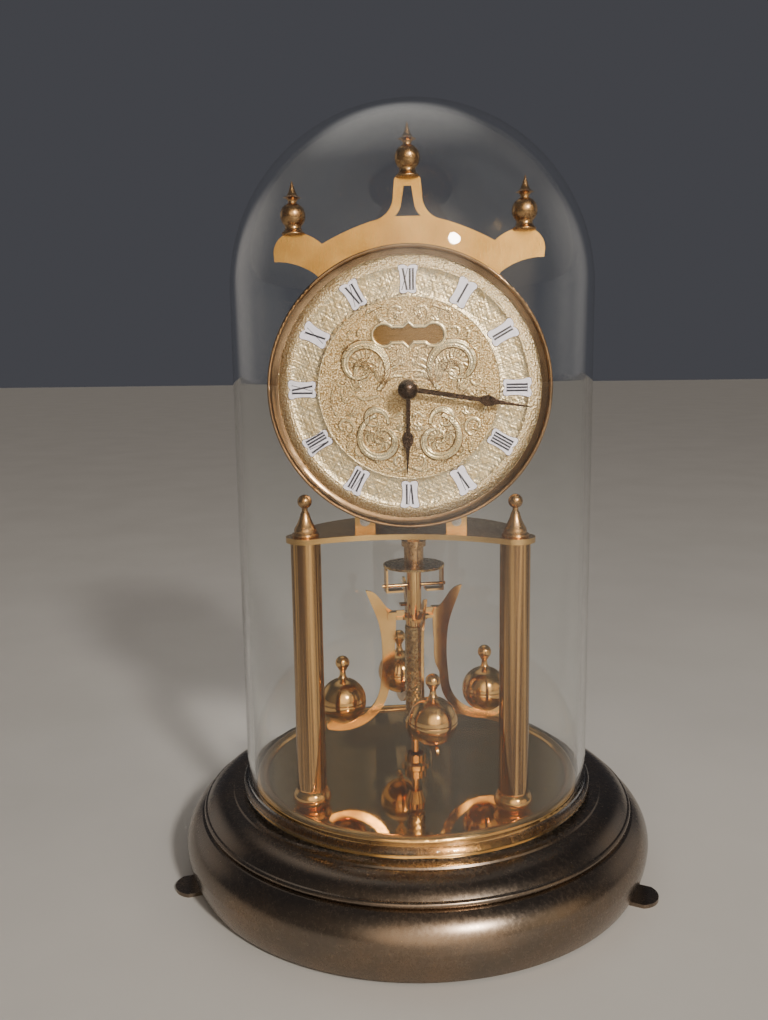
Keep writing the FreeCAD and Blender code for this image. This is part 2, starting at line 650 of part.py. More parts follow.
def make_barrel():
    """The mainspring's barrel, its great wheel, its cap, and the square arbor that winds it."""
    drum, wall = 17.3, 0.9
    dial_height = sheet.get("dial_height")
    front = -24.4
    teeth, module = int(sheet.get("great_teeth")), sheet.get("great_module")
    mesh = bearing(BARREL, FIRST)
    gear = tooth_ring(teeth, module, mesh).cut(ring_face(2.06, 0))
    solid = gear.extrude(Vector(0, GREAT_WHEEL[1] - GREAT_WHEEL[0], 0))
    cup = ring_face(drum, drum - wall).extrude(Vector(0, GREAT_WHEEL[0] - front, 0))
    cup.translate(Vector(0, front - GREAT_WHEEL[0], 0))
    item = shaped("barrel_drum", solid.fuse(cup).removeSplitter())
    item.Placement = Placement(Vector(BARREL[0], GREAT_WHEEL[0], BARREL[1] + dial_height), Rotation())
    subpart(item, "barrel")

    subpart(rod("cap", drum - wall - 0.08, front, front + 0.9, x=BARREL[0],
                across=D.dial_height + BARREL[1], axis="Y", bore=1.7), "barrel_cap")

    coils, inner, outer, thick, spring_width = 9.0, 4.4, 15.6, 0.45, 8.0
    steps = int(coils * 12)

    def spiral(shift):
        """A coil that widens evenly from the arbor to the drum, shifted outwards."""
        points = []
        for i in range(steps + 1):
            radius = inner + shift + (outer - inner) * i / steps
            angle = 2 * math.pi * coils * i / steps
            points.append(Vector(radius * math.cos(angle), 0, radius * math.sin(angle)))
        curve = Part.BSplineCurve()
        curve.interpolate(points)
        return curve

    inside, outside = spiral(0.0), spiral(thick)
    strip = Part.Face(Part.Wire([
        inside.toShape(), Part.makeLine(inside.EndPoint, outside.EndPoint),
        outside.toShape(), Part.makeLine(outside.StartPoint, inside.StartPoint)]))
    spring = shaped("spring_coil", strip.extrude(Vector(0, spring_width, 0)))
    spring.Placement = Placement(Vector(BARREL[0], -22.8, BARREL[1] + dial_height), Rotation())
    subpart(spring, "mainspring")

    centre = dict(x=BARREL[0], across=D.dial_height + BARREL[1], axis="Y")
    square = 1.55
    shaft = fuse("winding_shaft",
                 rod("winding_pivot", 1.5, -27.0, -22.9, **centre),
                 rod("winding_core", 3.5, -22.9, -14.2, **centre),
                 rod("winding_back", 2.0, -14.2, -4.0, **centre),
                 box("winding_square", (BARREL[0] - square, -4.0, D.dial_height + BARREL[1] - square),
                     (BARREL[0] + square, 8.0, D.dial_height + BARREL[1] + square)))
    subpart(shaft, "winding_arbor")

    ratchet_teeth, ratchet_radius = 24, 6.5
    edge = tooth_ring(ratchet_teeth, 0, 0, ratchet_radius - 0.9, ratchet_radius, lean=0.1)
    hole = face_of([Part.makeLine(Vector(a, 0, b), Vector(c, 0, d)) for a, b, c, d in (
        (-square, -square, square, -square), (square, -square, square, square),
        (square, square, -square, square), (-square, square, -square, -square))])
    subpart(wheel("ratchet", edge, (-3.4, -2.4), BARREL, [hole]), "ratchet_wheel")

    nose = polar(BARREL, ratchet_radius + 0.35, 128.0)
    lever = [(1.4, 1.5), (-1.6, 0.6), (-1.2, -1.5), (1.0, -1.2),
             (nose[0] - CLICK[0], nose[1] - CLICK[1]), (nose[0] - CLICK[0] + 0.5, nose[1] - CLICK[1] + 0.7)]
    click = sheet_part("click_lever", lever, [(0, 0, 0.85)], 1.0, offset=2.4,
                       at=(CLICK[0], 0, D.dial_height + CLICK[1]))
    subpart(click, "click")
    blade = [(-25.2, -25.0), (-23.2, -25.0), (-23.2, -23.6), (-22.9, -14.2), (-19.0, -14.4),
             (-19.0, -14.05), (-23.35, -13.7), (-23.8, -23.0), (-25.2, -23.0)]
    subpart(sheet_part("click_blade", blade, (), 1.0, offset=2.4, at=(0, 0, D.dial_height)),
            "click_spring")


def make_train():
    """The wheels and arbors from the barrel to the escape wheel, each tooth facing a gap."""

    def half_pitch(leaves):
        """Half the angle from one leaf to the next."""
        return 180.0 / sheet.get(leaves)

    to_first, to_second = bearing(BARREL, FIRST), bearing(FIRST, SECOND)
    to_centre, to_escape = bearing(SECOND, CENTRE), bearing(CENTRE, ESCAPE)

    subpart(arbor("first_staff", FIRST, 0.5, 0.9, "first_leaves", "great_module",
                  to_first + 180 + half_pitch("first_leaves"), (-14.2, -11.9), (1.4, (-10.2, -9.4))),
            "first_arbor")
    subpart(train_wheel("first_disc", "first_teeth", "first_module", FIRST_WHEEL, FIRST, to_second, 1.4),
            "first_wheel")
    subpart(arbor("second_staff", SECOND, 0.5, 0.6, "second_leaves", "first_module",
                  to_second + 180 + half_pitch("second_leaves"), (-10.6, -9.0), (1.2, (-8.4, -7.6))),
            "second_arbor")
    subpart(train_wheel("second_disc", "second_teeth", "second_module", SECOND_WHEEL, SECOND, to_centre,
                        1.2), "second_wheel")
    subpart(arbor("centre_staff", CENTRE, 0.9, 0.9, "centre_leaves", "second_module",
                  to_centre + 180 + half_pitch("centre_leaves"), (-9.0, -7.0), (1.2, (-11.6, -10.8)),
                  ends=(-37.5, -4.0)), "centre_arbor")
    subpart(train_wheel("centre_disc", "centre_teeth", "centre_module", CENTRE_WHEEL, CENTRE, to_escape,
                        1.2), "centre_wheel")
    subpart(arbor("escape_staff", ESCAPE, 0.4, 0.5, "escape_leaves", "centre_module",
                  to_escape + 180 + half_pitch("escape_leaves"), (-12.2, -10.2), (1.0, (-20.4, -19.6))),
            "escape_arbor")
    edge = tooth_ring(int(sheet.get("escape_teeth")), 0, 0, sheet.get("escape_radius") - 1.5,
                      sheet.get("escape_radius"), lean=0.06)
    windows = crossing(5.8, 2.4, 0.9, 4)
    subpart(wheel("escape_disc", edge, ESCAPE_WHEEL, ESCAPE, windows + [ring_face(1.0, 0)]), "escape_wheel")


def make_anchor():
    """The anchor, whose pin rises behind the back plate into the fork on the suspension."""
    arms = [(1.6, -1.7), (6.2, -3.9), (6.7, -5.4), (8.0, -5.0), (8.3, -3.2), (1.5, 2.2)]
    pallets = sheet_part("pallets", mirrored(arms), [(0, 0, 0.93)], 0.8, offset=19.6,
                         at=(0, 0, D.dial_height + ANCHOR[1]))
    subpart(pallets, "anchor")
    centre = dict(across=D.dial_height + ANCHOR[1], axis="Y")
    staff = fuse("anchor_staff",
                 rod("anchor_pivot", 0.5, -27.0, -2.8, **centre),
                 rod("anchor_body", 0.9, -25.1, -5.9, **centre),
                 rod("anchor_collar", 1.1, -3.75, -2.65, **centre),
                 rod("anchor_pin", 0.35, D.dial_height + ANCHOR[1], D.dial_height + ANCHOR[1] + 13.0,
                     across=-3.2))
    subpart(staff, "anchor_arbor")


def make_motion_works():
    """The small wheels under the dial that turn the hour hand once for twelve minute turns."""
    cannon_teeth, minute_teeth = int(sheet.get("cannon_teeth")), int(sheet.get("minute_teeth"))
    minute_leaves, hour_teeth = int(sheet.get("minute_leaves")), int(sheet.get("hour_teeth"))
    outward, inward = bearing(CENTRE, MINUTE), bearing(MINUTE, CENTRE)

    def toothed_pipe(name, edge, station, pipe_radius, pipe_end, bore):
        """A wheel on a pipe that turns on the centre arbor."""
        gear = edge.cut(ring_face(bore, 0)).extrude(Vector(0, station[1] - station[0], 0))
        gear.translate(Vector(0, station[0], 0))
        pipe = ring_face(pipe_radius, bore).extrude(Vector(0, station[1] - pipe_end, 0))
        pipe.translate(Vector(0, pipe_end, 0))
        item = shaped(name, gear.fuse(pipe).removeSplitter())
        item.Placement = Placement(Vector(0, 0, sheet.get("dial_height")), Rotation())
        return item

    subpart(toothed_pipe("cannon", tooth_ring(cannon_teeth, sheet.get("cannon_module"), outward),
                         (-28.4, -27.5), 1.45, -35.4, 0.93), "cannon_pinion")
    edge = tooth_ring(minute_teeth, sheet.get("cannon_module"), inward + 180.0 / minute_teeth)
    disc = edge.cut(ring_face(1.0, 0)).extrude(Vector(0, 0.8, 0))
    disc.translate(Vector(0, -28.35, 0))
    leaves = tooth_ring(minute_leaves, sheet.get("hour_module"), inward).cut(ring_face(1.0, 0))
    pinion = leaves.extrude(Vector(0, 1.65, 0))
    pinion.translate(Vector(0, -30.0, 0))
    item = shaped("minute_disc", disc.fuse(pinion).removeSplitter())
    item.Placement = Placement(Vector(MINUTE[0], 0, MINUTE[1] + sheet.get("dial_height")), Rotation())
    subpart(item, "minute_wheel")
    hour_edge = tooth_ring(hour_teeth, sheet.get("hour_module"), outward + 180.0 / hour_teeth)
    subpart(toothed_pipe("hour_pipe", hour_edge, (-30.0, -29.2), 2.2, -33.4, 1.52), "hour_wheel")


# ---------------------------------------------------------------- dial, hands and crest
def make_dial():
    """The dial on its feet, the can behind it, the bezel, and a plaque for each hour."""
    face, back = D.dial_face, D.dial_face + D.dial_thick
    at = (0, 0, D.dial_height)
    plate = turned("dial_disc", [(2.6, back), (2.6, face), (D.dial_seat, face), (D.dial_seat, back)],
                   role="XY_Plane", at=at)
    posts = [rod("dial_post_%d" % i, 1.0, back, D.front_plate_back - D.plate_thick, x=x,
                 across=D.dial_height + z, axis="Y") for i, (x, z) in enumerate(DIAL_FEET)]
    subpart(fuse("dial_with_feet", plate, *posts), "dial")

    inside, outside = D.can_radius - D.can_wall, D.can_radius
    can_back, can_front = -29.2, -33.2
    can = turned("can", [(20.0, can_back), (20.0, can_back - 0.6), (inside, can_back - 0.6),
                         (inside, can_front), (outside, can_front), (outside, can_back)],
                 role="XY_Plane", at=at)
    pocket(can, "dial_feet_holes", circles=[(x, z, 1.1) for x, z in DIAL_FEET])
    subpart(can, "dial_can")

    lip = D.dial_opening
    bezel = turned("bezel_ring", [
        (lip, face - 0.1), (lip, face - 0.6), (outside - 0.9, -34.3, -4.6), (outside, -34.0, 0.62),
        (outside, can_front), (inside - 0.06, can_front), (inside - 0.06, face - 0.1)],
        role="XY_Plane", at=at)
    subpart(bezel, "bezel")

    plaques = []
    thick, inner_end, outer_end = 0.35, D.plaque_inner, D.plaque_outer
    for hour in range(12):
        outline = mirrored([(2.6, inner_end), (2.3, inner_end + 3.6), (2.6, inner_end + 6.6),
                            (3.4, outer_end - 1.2), (1.9, outer_end)])
        plaque = sheet_part("plaque_%d" % hour, outline, (), thick, offset=-D.dial_face, at=at)
        plaque.Placement.Rotation = Rotation(Vector(0, 1, 0), 30.0 * hour)
        plaques.append(plaque)
    subpart(group("plaques", plaques), "numeral_plaques")


def make_hands():
    """Spade hands, set at a quarter past six, and the ball nut that holds them."""

    def hand(name, length, half_arm, bulge_at, bulge_half, hub, bore, y_back, degrees):
        """One hand: an eye on its pipe and a tapered arm with a bulge and a long point."""
        tail = bulge_at + 12.0 if length > 40 else bulge_at + 6.0
        outline = [
            (half_arm, hub * 0.9), (half_arm * 0.8, bulge_at - 4.5), (bulge_half * 0.5, bulge_at - 3.0),
            (bulge_half, bulge_at), (half_arm * 0.9, tail), (0.16, length)]
        arm = sheet_part(name + "_arm", mirrored(outline), (), 0.6, offset=-y_back)
        eye = sheet_part(name + "_eye", (), [(0, 0, hub), (0, 0, bore)], 0.6, offset=-y_back)
        item = fuse(name, eye, arm)
        item.Placement = Placement(Vector(0, 0, sheet.get("dial_height")),
                                   Rotation(Vector(0, 1, 0), degrees))
        item.setExpression("Placement.Base.z", D.dial_height.text)
        return item

    subpart(hand("hour_pointer", 31.0, 0.85, 18.3, 2.1, 3.2, 1.52, -33.4, 181.3), "hour_hand")
    subpart(hand("minute_pointer", 44.3, 0.95, 28.5, 2.0, 3.0, 0.92, -35.4, 98.9), "minute_hand")
    ball, seat, neck = 3.66, -36.0, 1.9
    middle = seat - 0.5 - half_height(ball, neck)
    knob = turned("knob", [(0.92, seat), (0.92, seat - 1.8), (0, seat - 1.8), (0, middle - ball),
                           (neck, seat - 0.5, ball), (neck, seat)],
                  role="XY_Plane", at=(0, 0, D.dial_height))
    subpart(knob, "hand_nut")


def make_crest():
    """The flat fretted crest behind the dial, with three turned finials on its edge."""
    half = [
        (26.0, 27.8), (33.0, 41.0), (48.3, 46.1, -24.0), (48.6, 49.0), (41.3, 56.4, 7.6), (31.0, 52.1, 16.0),
        (12.6, 59.8, 90.0), (5.2, 68.5, -8.5), (4.7, 73.6), (3.3, 75.1, 1.6),
    ]
    outline = mirrored(half)
    outline[0] += (-38.1,)
    head_holes = [(x, z, 2.1) for x, z in PILLARS if z > 0]
    sheet_back = D.plate_thick - D.front_plate_back
    crest = sheet_part("crest_sheet", outline, head_holes, 1.0, offset=sheet_back, at=(0, 0, D.dial_height))
    window = mirrored([(4.7, 61.2), (2.4, 65.0, -7.0), (1.35, 71.6)])
    pocket(crest, "crest_window", points=window)
    subpart(crest, "crest")

    finials = []
    middle = D.front_plate_back - D.plate_thick - 0.5
    for i, (x, base, edge) in enumerate(((-41.3, 55.4, 56.43), (0, 74.4, 75.13), (41.3, 55.4, 56.43))):
        turning = turned("crest_finial_%d" % i, [
            (0, base), (4.0, base), (4.0, base + 0.9, 0.55), (2.85, base + 2.7, -2.2), (3.0, base + 3.3),
            (1.5, base + 11.0, 4.55), (1.5, base + 11.6), (3.2, base + 12.9, -1.9), (2.0, base + 13.6),
            (0.9, base + 16.1, -7.0), (0, base + 18.9)], at=(x, middle, D.dial_height))
        slot = box("finial_slot_%d" % i, (x - 5.0, middle - 0.52, D.dial_height + base - 2.0),
                   (x + 5.0, middle + 0.52, D.dial_height + edge))
        finials.append(cut("crest_finial_%d" % i, turning, slot))
    subpart(group("crest_finial_set", finials), "crest_finials")


# ---------------------------------------------------------------- suspension and pendulum
def make_suspension():
    """A thin spring from a saddle on the back plate to the pendulum, with a fork near its top."""
    back = D.back_plate_front + D.plate_thick
    saddle = fuse("saddle_bracket",
                  box("saddle_leg", (-6.0, back, 236.0), (6.0, back + 1.6, 246.0)),
                  box("saddle_arm", (-6.0, back + 1.6, 243.6), (6.0, 4.5, 246.0)))
    slot = box("saddle_slot", (-1.65, -1.15, 243.0), (1.65, 1.15, 247.0))
    subpart(cut("saddle", saddle, slot), "suspension_saddle")
    top = fuse("upper_block", box("upper_neck", (-1.6, -1.1, 240.0), (1.6, 1.1, 246.0)),
               box("upper_head", (-2.6, -1.9, 246.0), (2.6, 1.9, 247.4)))
    subpart(top, "suspension_top_block")
    bottom_top, width, thick = 138.6, 0.5, 0.12
    subpart(box("ribbon", (-width, -thick, bottom_top), (width, thick, 240.0)), "suspension_spring")

    fork = fuse("fork_clamp", box("fork_block", (-1.6, -1.3, 231.4), (1.6, 1.3, 234.0)),
                box("fork_tines", (-1.1, -3.7, 232.0), (1.1, -1.3, 233.0)))
    gap = box("fork_gap", (-0.5, -3.9, 231.0), (0.5, -2.4, 235.0))
    passage = rod("fork_passage", width + 0.06, 231.0, 235.0)
    subpart(cut("fork", fork, gap, passage), "suspension_fork")

    block = box("lower_block_body", (-2.4, -1.2, 134.9), (2.4, 1.2, bottom_top))
    subpart(block, "suspension_bottom_block")


def arm(quarter):
    """One arm: a flat plate that stands in a plane through the axis. Its pointed blade leans outwards, and
    its lower end sweeps under the ball, which is let in on its edge."""
    inset, inner = sheet.get("arm_inset"), sheet.get("arm_sweep")
    outer = inner + sheet.get("arm_band")
    centre = Vector(sheet.get("ball_orbit"), 0, sheet.get("arm_sweep_height"))
    tip = Vector(sheet.get("arm_tip_radius"), 0, sheet.get("arm_tip_height"))
    root, shoulder = Vector(inset, 0, 103.6), Vector(inset + 0.8, 0, 105.6)
    sweep_end = math.radians(17)
    round_end = sweep_end + (outer - inner) / (outer + inner)

    def on_sweep(radius, angle):
        """A point of the sweep, by angle past the lowest point."""
        return centre + Vector(math.sin(angle), 0, -math.cos(angle)) * radius

    def curve(points, **tangents):
        """A smooth edge through points."""
        spline = Part.BSplineCurve()
        spline.interpolate(Points=points, **tangents)
        return spline.toShape()

    upright = Vector(0, 0, 8)
    sweep_start, half_way = -math.pi / 2, (sweep_end - math.pi / 2) / 2
    low_out, low_in = on_sweep(outer, sweep_start), on_sweep(inner, sweep_start)
    axis_side = [low_out, Vector(inset + 1.3, 0, 81.5), Vector(inset + 0.6, 0, 90.0), root]
    top_side = [shoulder, Vector(inset + 3.4, 0, 107.1), Vector(inset + 6.9, 0, 111.6), tip]
    ball_side = [tip, Vector(17.6, 0, 108.0), Vector(15.1, 0, 101.0), Vector(13.8, 0, 92.5),
                 Vector(13.75, 0, 84.0), low_in]
    inner_end, outer_end = on_sweep(inner, sweep_end), on_sweep(outer, sweep_end)
    edges = [
        curve(axis_side, InitialTangent=upright, FinalTangent=upright),
        Part.makeLine(root, shoulder),
        curve(top_side),
        curve(ball_side),
        Part.Arc(low_in, on_sweep(inner, half_way), inner_end).toShape(),
        Part.Arc(inner_end, on_sweep((inner + outer) / 2, round_end), outer_end).toShape(),
        Part.Arc(outer_end, on_sweep(outer, half_way), low_out).toShape()]
    thick = sheet.get("arm_thick")
    solid = face_of(edges).extrude(Vector(0, thick, 0))
    solid.translate(Vector(0, -thick / 2, 0))
    solid.rotate(Vector(0, 0, 0), Vector(0, 0, 1), sheet.get("pendulum_turn") + 90 * quarter)
    return solid


def spider_shape():
    """The disc on the column that carries the arms: a spoke, an upright tab and a flap for each."""
    inset, beside = sheet.get("arm_inset"), sheet.get("arm_thick") / 2
    low, thick, disc_radius, bore = 102.2, 1.2, 5.6, 3.06
    spoke_start, spoke_width = 3.5, 4.0
    tab_start, tab_length, tab_thick, tab_height = 4.4, 7.0, 0.8, 3.8
    flap_start, flap_side, flap_low = 8.0, 3.4, 105.2
    spider = Part.makeCylinder(disc_radius, thick, Vector(0, 0, low))
    for quarter in range(4):
        spoke = Part.makeBox(inset - spoke_start, spoke_width, thick,
                             Vector(spoke_start, -spoke_width / 2, low))
        tab = Part.makeBox(tab_length, tab_thick, tab_height, Vector(tab_start, beside, low))
        flap = Part.makeBox(flap_side, flap_side, tab_thick, Vector(flap_start, beside, flap_low))
        limb = spoke.fuse(tab).fuse(flap)
        limb.rotate(Vector(0, 0, 0), Vector(0, 0, 1), sheet.get("pendulum_turn") + 90 * quarter)
        spider = spider.fuse(limb)
    spider = spider.cut(Part.makeCylinder(bore, 4 * tab_height, Vector(0, 0, low - tab_height)))
    return spider.removeSplitter()


def make_pendulum():
    """Four balls on flat curved arms round a slender column, under a knurled regulating disc."""
    disc_low, disc_high = D.disc_height, D.disc_height + 1.0
    subpart(turned("hub", [(0, disc_low), (2.0, disc_low), (2.0, disc_high), (4.0, disc_high), (4.0, 132.6),
                           (5.0, 132.6), (5.0, 134.9), (0, 134.9)]), "pendulum_hub")

    ridges, ridge_depth = 120, 0.25
    knurl = tooth_ring(ridges, 0, 0, sheet.get("disc_radius") - ridge_depth, sheet.get("disc_radius"))
    disc = shaped("disc", knurl.cut(ring_face(2.06, 0)).extrude(Vector(0, 0.9, 0)).Solids[0])
    disc.Placement = Placement(Vector(0, 0, sheet.get("disc_height") + 0.05), Rotation(Vector(1, 0, 0), 90))
    subpart(disc, "regulating_disc")

    column = turned("column", [
        (0, 41.8), (1.6, 42.5), (1.6, 50.0), (2.6, 50.0), (4.2, 55.0), (4.2, 57.5), (3.0, 60.0),
        (3.75, 66.0), (3.75, 90.0), (3.2, 98.0), (3.75, 102.2), (3.0, 102.2), (3.0, disc_low), (0, disc_low)])
    turn = math.radians(sheet.get("pendulum_turn"))
    outward = Vector(math.cos(turn), math.sin(turn), 0)
    guide_height, guide_reach = 116.2, 13.2
    guide = doc.addObject("Part::Cylinder", "regulator_guide")
    guide.Radius = 0.7
    guide.Height = 2 * guide_reach
    guide.Placement = Placement(outward * -guide_reach, Rotation(Vector(0, 0, 1), outward))
    place(guide, outward.x * -guide_reach, outward.y * -guide_reach, guide_height)
    subpart(fuse("column_with_guide", column, guide), "pendulum_column")

    def radial_plate(name, points, width, quarter, hole=None):
        """A section drawn in a plane through the axis, widened, and turned to its quarter."""
        face = Part.Face(Part.makePolygon([Vector(r, 0, z) for r, z in points + points[:1]]))
        solid = face.extrude(Vector(0, width, 0))
        solid.translate(Vector(0, -width / 2, 0))
        if hole:
            radius, start, end = hole
            solid = solid.cut(Part.makeCylinder(radius, (end - start).Length, start, end - start))
        solid.rotate(Vector(0, 0, 0), Vector(0, 0, 1), sheet.get("pendulum_turn") + 90 * quarter)
        return solid

    for name, quarter in (("right", 0), ("left", 2)):
        angle = [(4.7, 113.8), (12.0, 113.8), (12.0, 123.2), (11.3, 123.2), (11.3, 114.6), (4.7, 114.6)]
        hole = (0.78, Vector(10, 0, guide_height), Vector(14, 0, guide_height))
        subpart(shaped("weight_" + name, radial_plate(name, angle, 5.0, quarter, hole)),
                "regulator_weight_" + name)

    arms = [arm(i) for i in range(4)]
    subpart(shaped("arm_set", Part.makeCompound(arms)), "pendulum_arms")
    subpart(shaped("spider", spider_shape()), "arm_spider")

    balls = []
    orbit, radius, height = sheet.get("ball_orbit"), D.ball_radius, D.ball_height
    collar, neck, bead, neck_rise, bead_rise = 2.4, 1.3, 2.9, 11.0, 16.1
    for i in range(4):
        angle = turn + i * math.pi / 2
        at = (orbit * math.cos(angle), orbit * math.sin(angle), 0)
        ball = turned("ball_%d" % i, [
            (0, height - radius), (collar, height + half_height(radius, collar), radius),
            (neck, height + neck_rise, -2.4), (neck, height + bead_rise - half_height(bead, neck)),
            (0, height + bead_rise + bead, bead)], at=at)
        balls.append(cut("ball_%d_slotted" % i, ball, shaped("ball_%d_slot" % i, arms[i])))
    subpart(group("balls", balls), "pendulum_balls")


# ---------------------------------------------------------------- build, check and write
for make in (make_base, make_dome, make_columns, make_platform, make_plates, make_barrel, make_train,
             make_anchor, make_motion_works, make_dial, make_hands, make_crest, make_suspension,
             make_pendulum):
    make()
doc.recompute()

for item in doc.Objects:
    if "Invalid" in item.State or "Error" in item.State:
        raise RuntimeError("%s failed to build" % item.Name)
for item in SUBPARTS:
    if item.Shape.isNull() or not item.Shape.isValid() or not item.Shape.Solids:
        raise RuntimeError("%s has no sound shape" % item.Label)

os.makedirs("parts", exist_ok=True)
for item in SUBPARTS:
    item.Shape.exportStep("parts/%s.step" % item.Label)
print("%d sub-parts written" % len(SUBPARTS))
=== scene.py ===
"""The anniversary clock's looks: brass and bronze surfaces, an embossed dial, enamel plaques,
shaped hands and the ball pendulum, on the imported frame. Lengths below are in millimetres and are
scaled to metres where a mesh is made.
"""

import math

import bpy
import numpy as np
from mathutils import Matrix, Vector


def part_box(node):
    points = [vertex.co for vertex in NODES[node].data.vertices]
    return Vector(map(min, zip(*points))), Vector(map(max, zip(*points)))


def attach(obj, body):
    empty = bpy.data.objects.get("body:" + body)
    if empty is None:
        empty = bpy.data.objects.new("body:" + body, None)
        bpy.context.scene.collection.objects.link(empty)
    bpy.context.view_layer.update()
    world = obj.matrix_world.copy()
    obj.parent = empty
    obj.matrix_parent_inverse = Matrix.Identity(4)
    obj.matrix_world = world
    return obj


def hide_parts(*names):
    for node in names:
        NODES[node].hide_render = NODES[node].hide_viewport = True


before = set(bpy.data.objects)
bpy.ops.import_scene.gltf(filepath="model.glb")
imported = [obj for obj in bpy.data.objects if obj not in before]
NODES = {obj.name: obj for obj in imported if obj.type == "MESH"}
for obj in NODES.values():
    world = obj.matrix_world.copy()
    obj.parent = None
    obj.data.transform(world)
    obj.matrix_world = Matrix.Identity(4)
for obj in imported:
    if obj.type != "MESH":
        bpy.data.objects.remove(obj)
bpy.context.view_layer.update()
MM = 0.001

# ---------------------------------------------------------------- places read from the frame
dial_low, dial_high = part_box("dial")
DIAL_X = (dial_low[0] + dial_high[0]) / 2 / MM
DIAL_Z = (dial_low[2] + dial_high[2]) / 2 / MM
DIAL_Y = dial_low[1] / MM
PLAQUE_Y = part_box("numeral_plaques")[0][1] / MM
OPENING = 47.7          # radius of the dial that shows inside the bezel
RELIEF_RADIUS = 32.8    # radius of the embossed middle
RELIEF = 1.3            # how much higher every stroke stands than its own height says


# ---------------------------------------------------------------- shader helpers
MIX_FACTOR, MIX_FIRST, MIX_SECOND, MIX_RESULT = 0, 6, 7, 2    # a colour mix node's sockets


class Shader:
    """A material whose nodes are added one at a time."""

    def __init__(self, name):
        self.material = bpy.data.materials.new(name)
        self.material.use_nodes = True
        self.tree = self.material.node_tree
        self.tree.nodes.clear()
        self.output = self.add("ShaderNodeOutputMaterial")
        self.place = self.add("ShaderNodeTexCoord").outputs["Object"]

    def add(self, kind, **settings):
        """A node, with its inputs or its own settings by name."""
        node = self.tree.nodes.new(kind)
        for key, value in settings.items():
            if key in node.inputs:
                node.inputs[key].default_value = value
            else:
                setattr(node, key, value)
        return node

    def link(self, source, target):
        """Wire an output to an input."""
        self.tree.links.new(source, target)

    def stretched(self, scale):
        """Object coordinates multiplied along X, Y and Z."""
        node = self.add("ShaderNodeMapping", Scale=scale)
        self.link(self.place, node.inputs["Vector"])
        return node.outputs["Vector"]

    def noise(self, size_mm, stretch=(1, 1, 1), detail=3.0, roughness=0.5):
        """A noise whose features are about size_mm across."""
        node = self.add("ShaderNodeTexNoise", Scale=1.0 / (size_mm * MM), Detail=detail, Roughness=roughness)
        self.link(self.stretched(stretch), node.inputs["Vector"])
        return node.outputs["Fac"]

    def cells(self, size_mm):
        """Distance to the middle of cells that are about size_mm across."""
        node = self.add("ShaderNodeTexVoronoi", Scale=1.0 / (size_mm * MM))
        self.link(self.place, node.inputs["Vector"])
        return node.outputs["Distance"]

    def spread(self, value, low, high, start=0.3, end=0.7):
        """Map a value's start..end range to low..high."""
        node = self.add("ShaderNodeMapRange")
        for key, number in (("From Min", start), ("From Max", end), ("To Min", low), ("To Max", high)):
            node.inputs[key].default_value = number
        self.link(value, node.inputs["Value"])
        return node.outputs["Result"]

    def blend(self, factor, first, second):
        """A colour between two colours."""
        node = self.add("ShaderNodeMix", data_type="RGBA")
        self.link(factor, node.inputs[MIX_FACTOR])
        for socket, colour in ((node.inputs[MIX_FIRST], first), (node.inputs[MIX_SECOND], second)):
            if isinstance(colour, tuple):
                socket.default_value = (*colour, 1.0)
            else:
                self.link(colour, socket)
        return node.outputs[MIX_RESULT]

    def sum(self, first, second, weight=1.0):
        """first + weight * second."""
        node = self.add("ShaderNodeMath", operation="MULTIPLY_ADD")
        self.link(second, node.inputs[0])
        node.inputs[1].default_value = weight
        self.link(first, node.inputs[2])
        return node.outputs[0]

    def bump(self, height, strength, depth_mm):
        """A surface direction from a height whose full range is depth_mm."""
        node = self.add("ShaderNodeBump", Strength=strength, Distance=depth_mm * MM)
        self.link(height, node.inputs["Height"])
        return node.outputs["Normal"]

    def principled(self, colour, roughness, normal=None, metallic=1.0, **numbers):
        """The surface itself; colour and roughness are values or outputs."""
        node = self.add("ShaderNodeBsdfPrincipled", Metallic=metallic)
        for socket, value in ((node.inputs["Base Color"], colour), (node.inputs["Roughness"], roughness)):
            if isinstance(value, tuple):
                socket.default_value = (*value, 1.0)
            elif isinstance(value, float):
                socket.default_value = value
            else:
                self.link(value, socket)
        for key, value in numbers.items():
            node.inputs[key.replace("_", " ")].default_value = value
        if normal is not None:
            self.link(normal, node.inputs["Normal"])
        self.link(node.outputs["BSDF"], self.output.inputs["Surface"])
        return node


# ---------------------------------------------------------------- materials
def polished_metal(name, bright, deep, roughness, smudge=0.06):
    """Polished metal: slow colour drift, faint smudges and hair-fine scratches."""
    s = Shader(name)
    colour = s.blend(s.spread(s.noise(9.0), 0.0, 1.0), bright, deep)
    rough = s.spread(s.noise(5.0, detail=5.0), roughness, roughness + smudge)
    scratches = s.noise(0.35, stretch=(1.0, 1.0, 0.08), detail=2.0)
    s.principled(colour, rough, s.bump(scratches, 0.06, 0.01))
    return s.material


def turned_metal(name, bright, deep, roughness, tarnish):
    """Lathe-turned brass: rings of fine tool marks and darker tarnish in patches."""
    s = Shader(name)
    patches = s.spread(s.noise(2.2, detail=5.0, roughness=0.6), 0.0, 1.0, 0.42, 0.66)
    colour = s.blend(patches, bright, tarnish)
    colour = s.blend(s.spread(s.noise(6.0), 0.0, 0.5), colour, deep)
    rings = s.noise(0.3, stretch=(0.02, 0.02, 1.0), detail=2.0)
    rough = s.spread(patches, roughness, roughness + 0.16, 0.0, 1.0)
    s.principled(colour, rough, s.bump(rings, 0.16, 0.015))
    return s.material


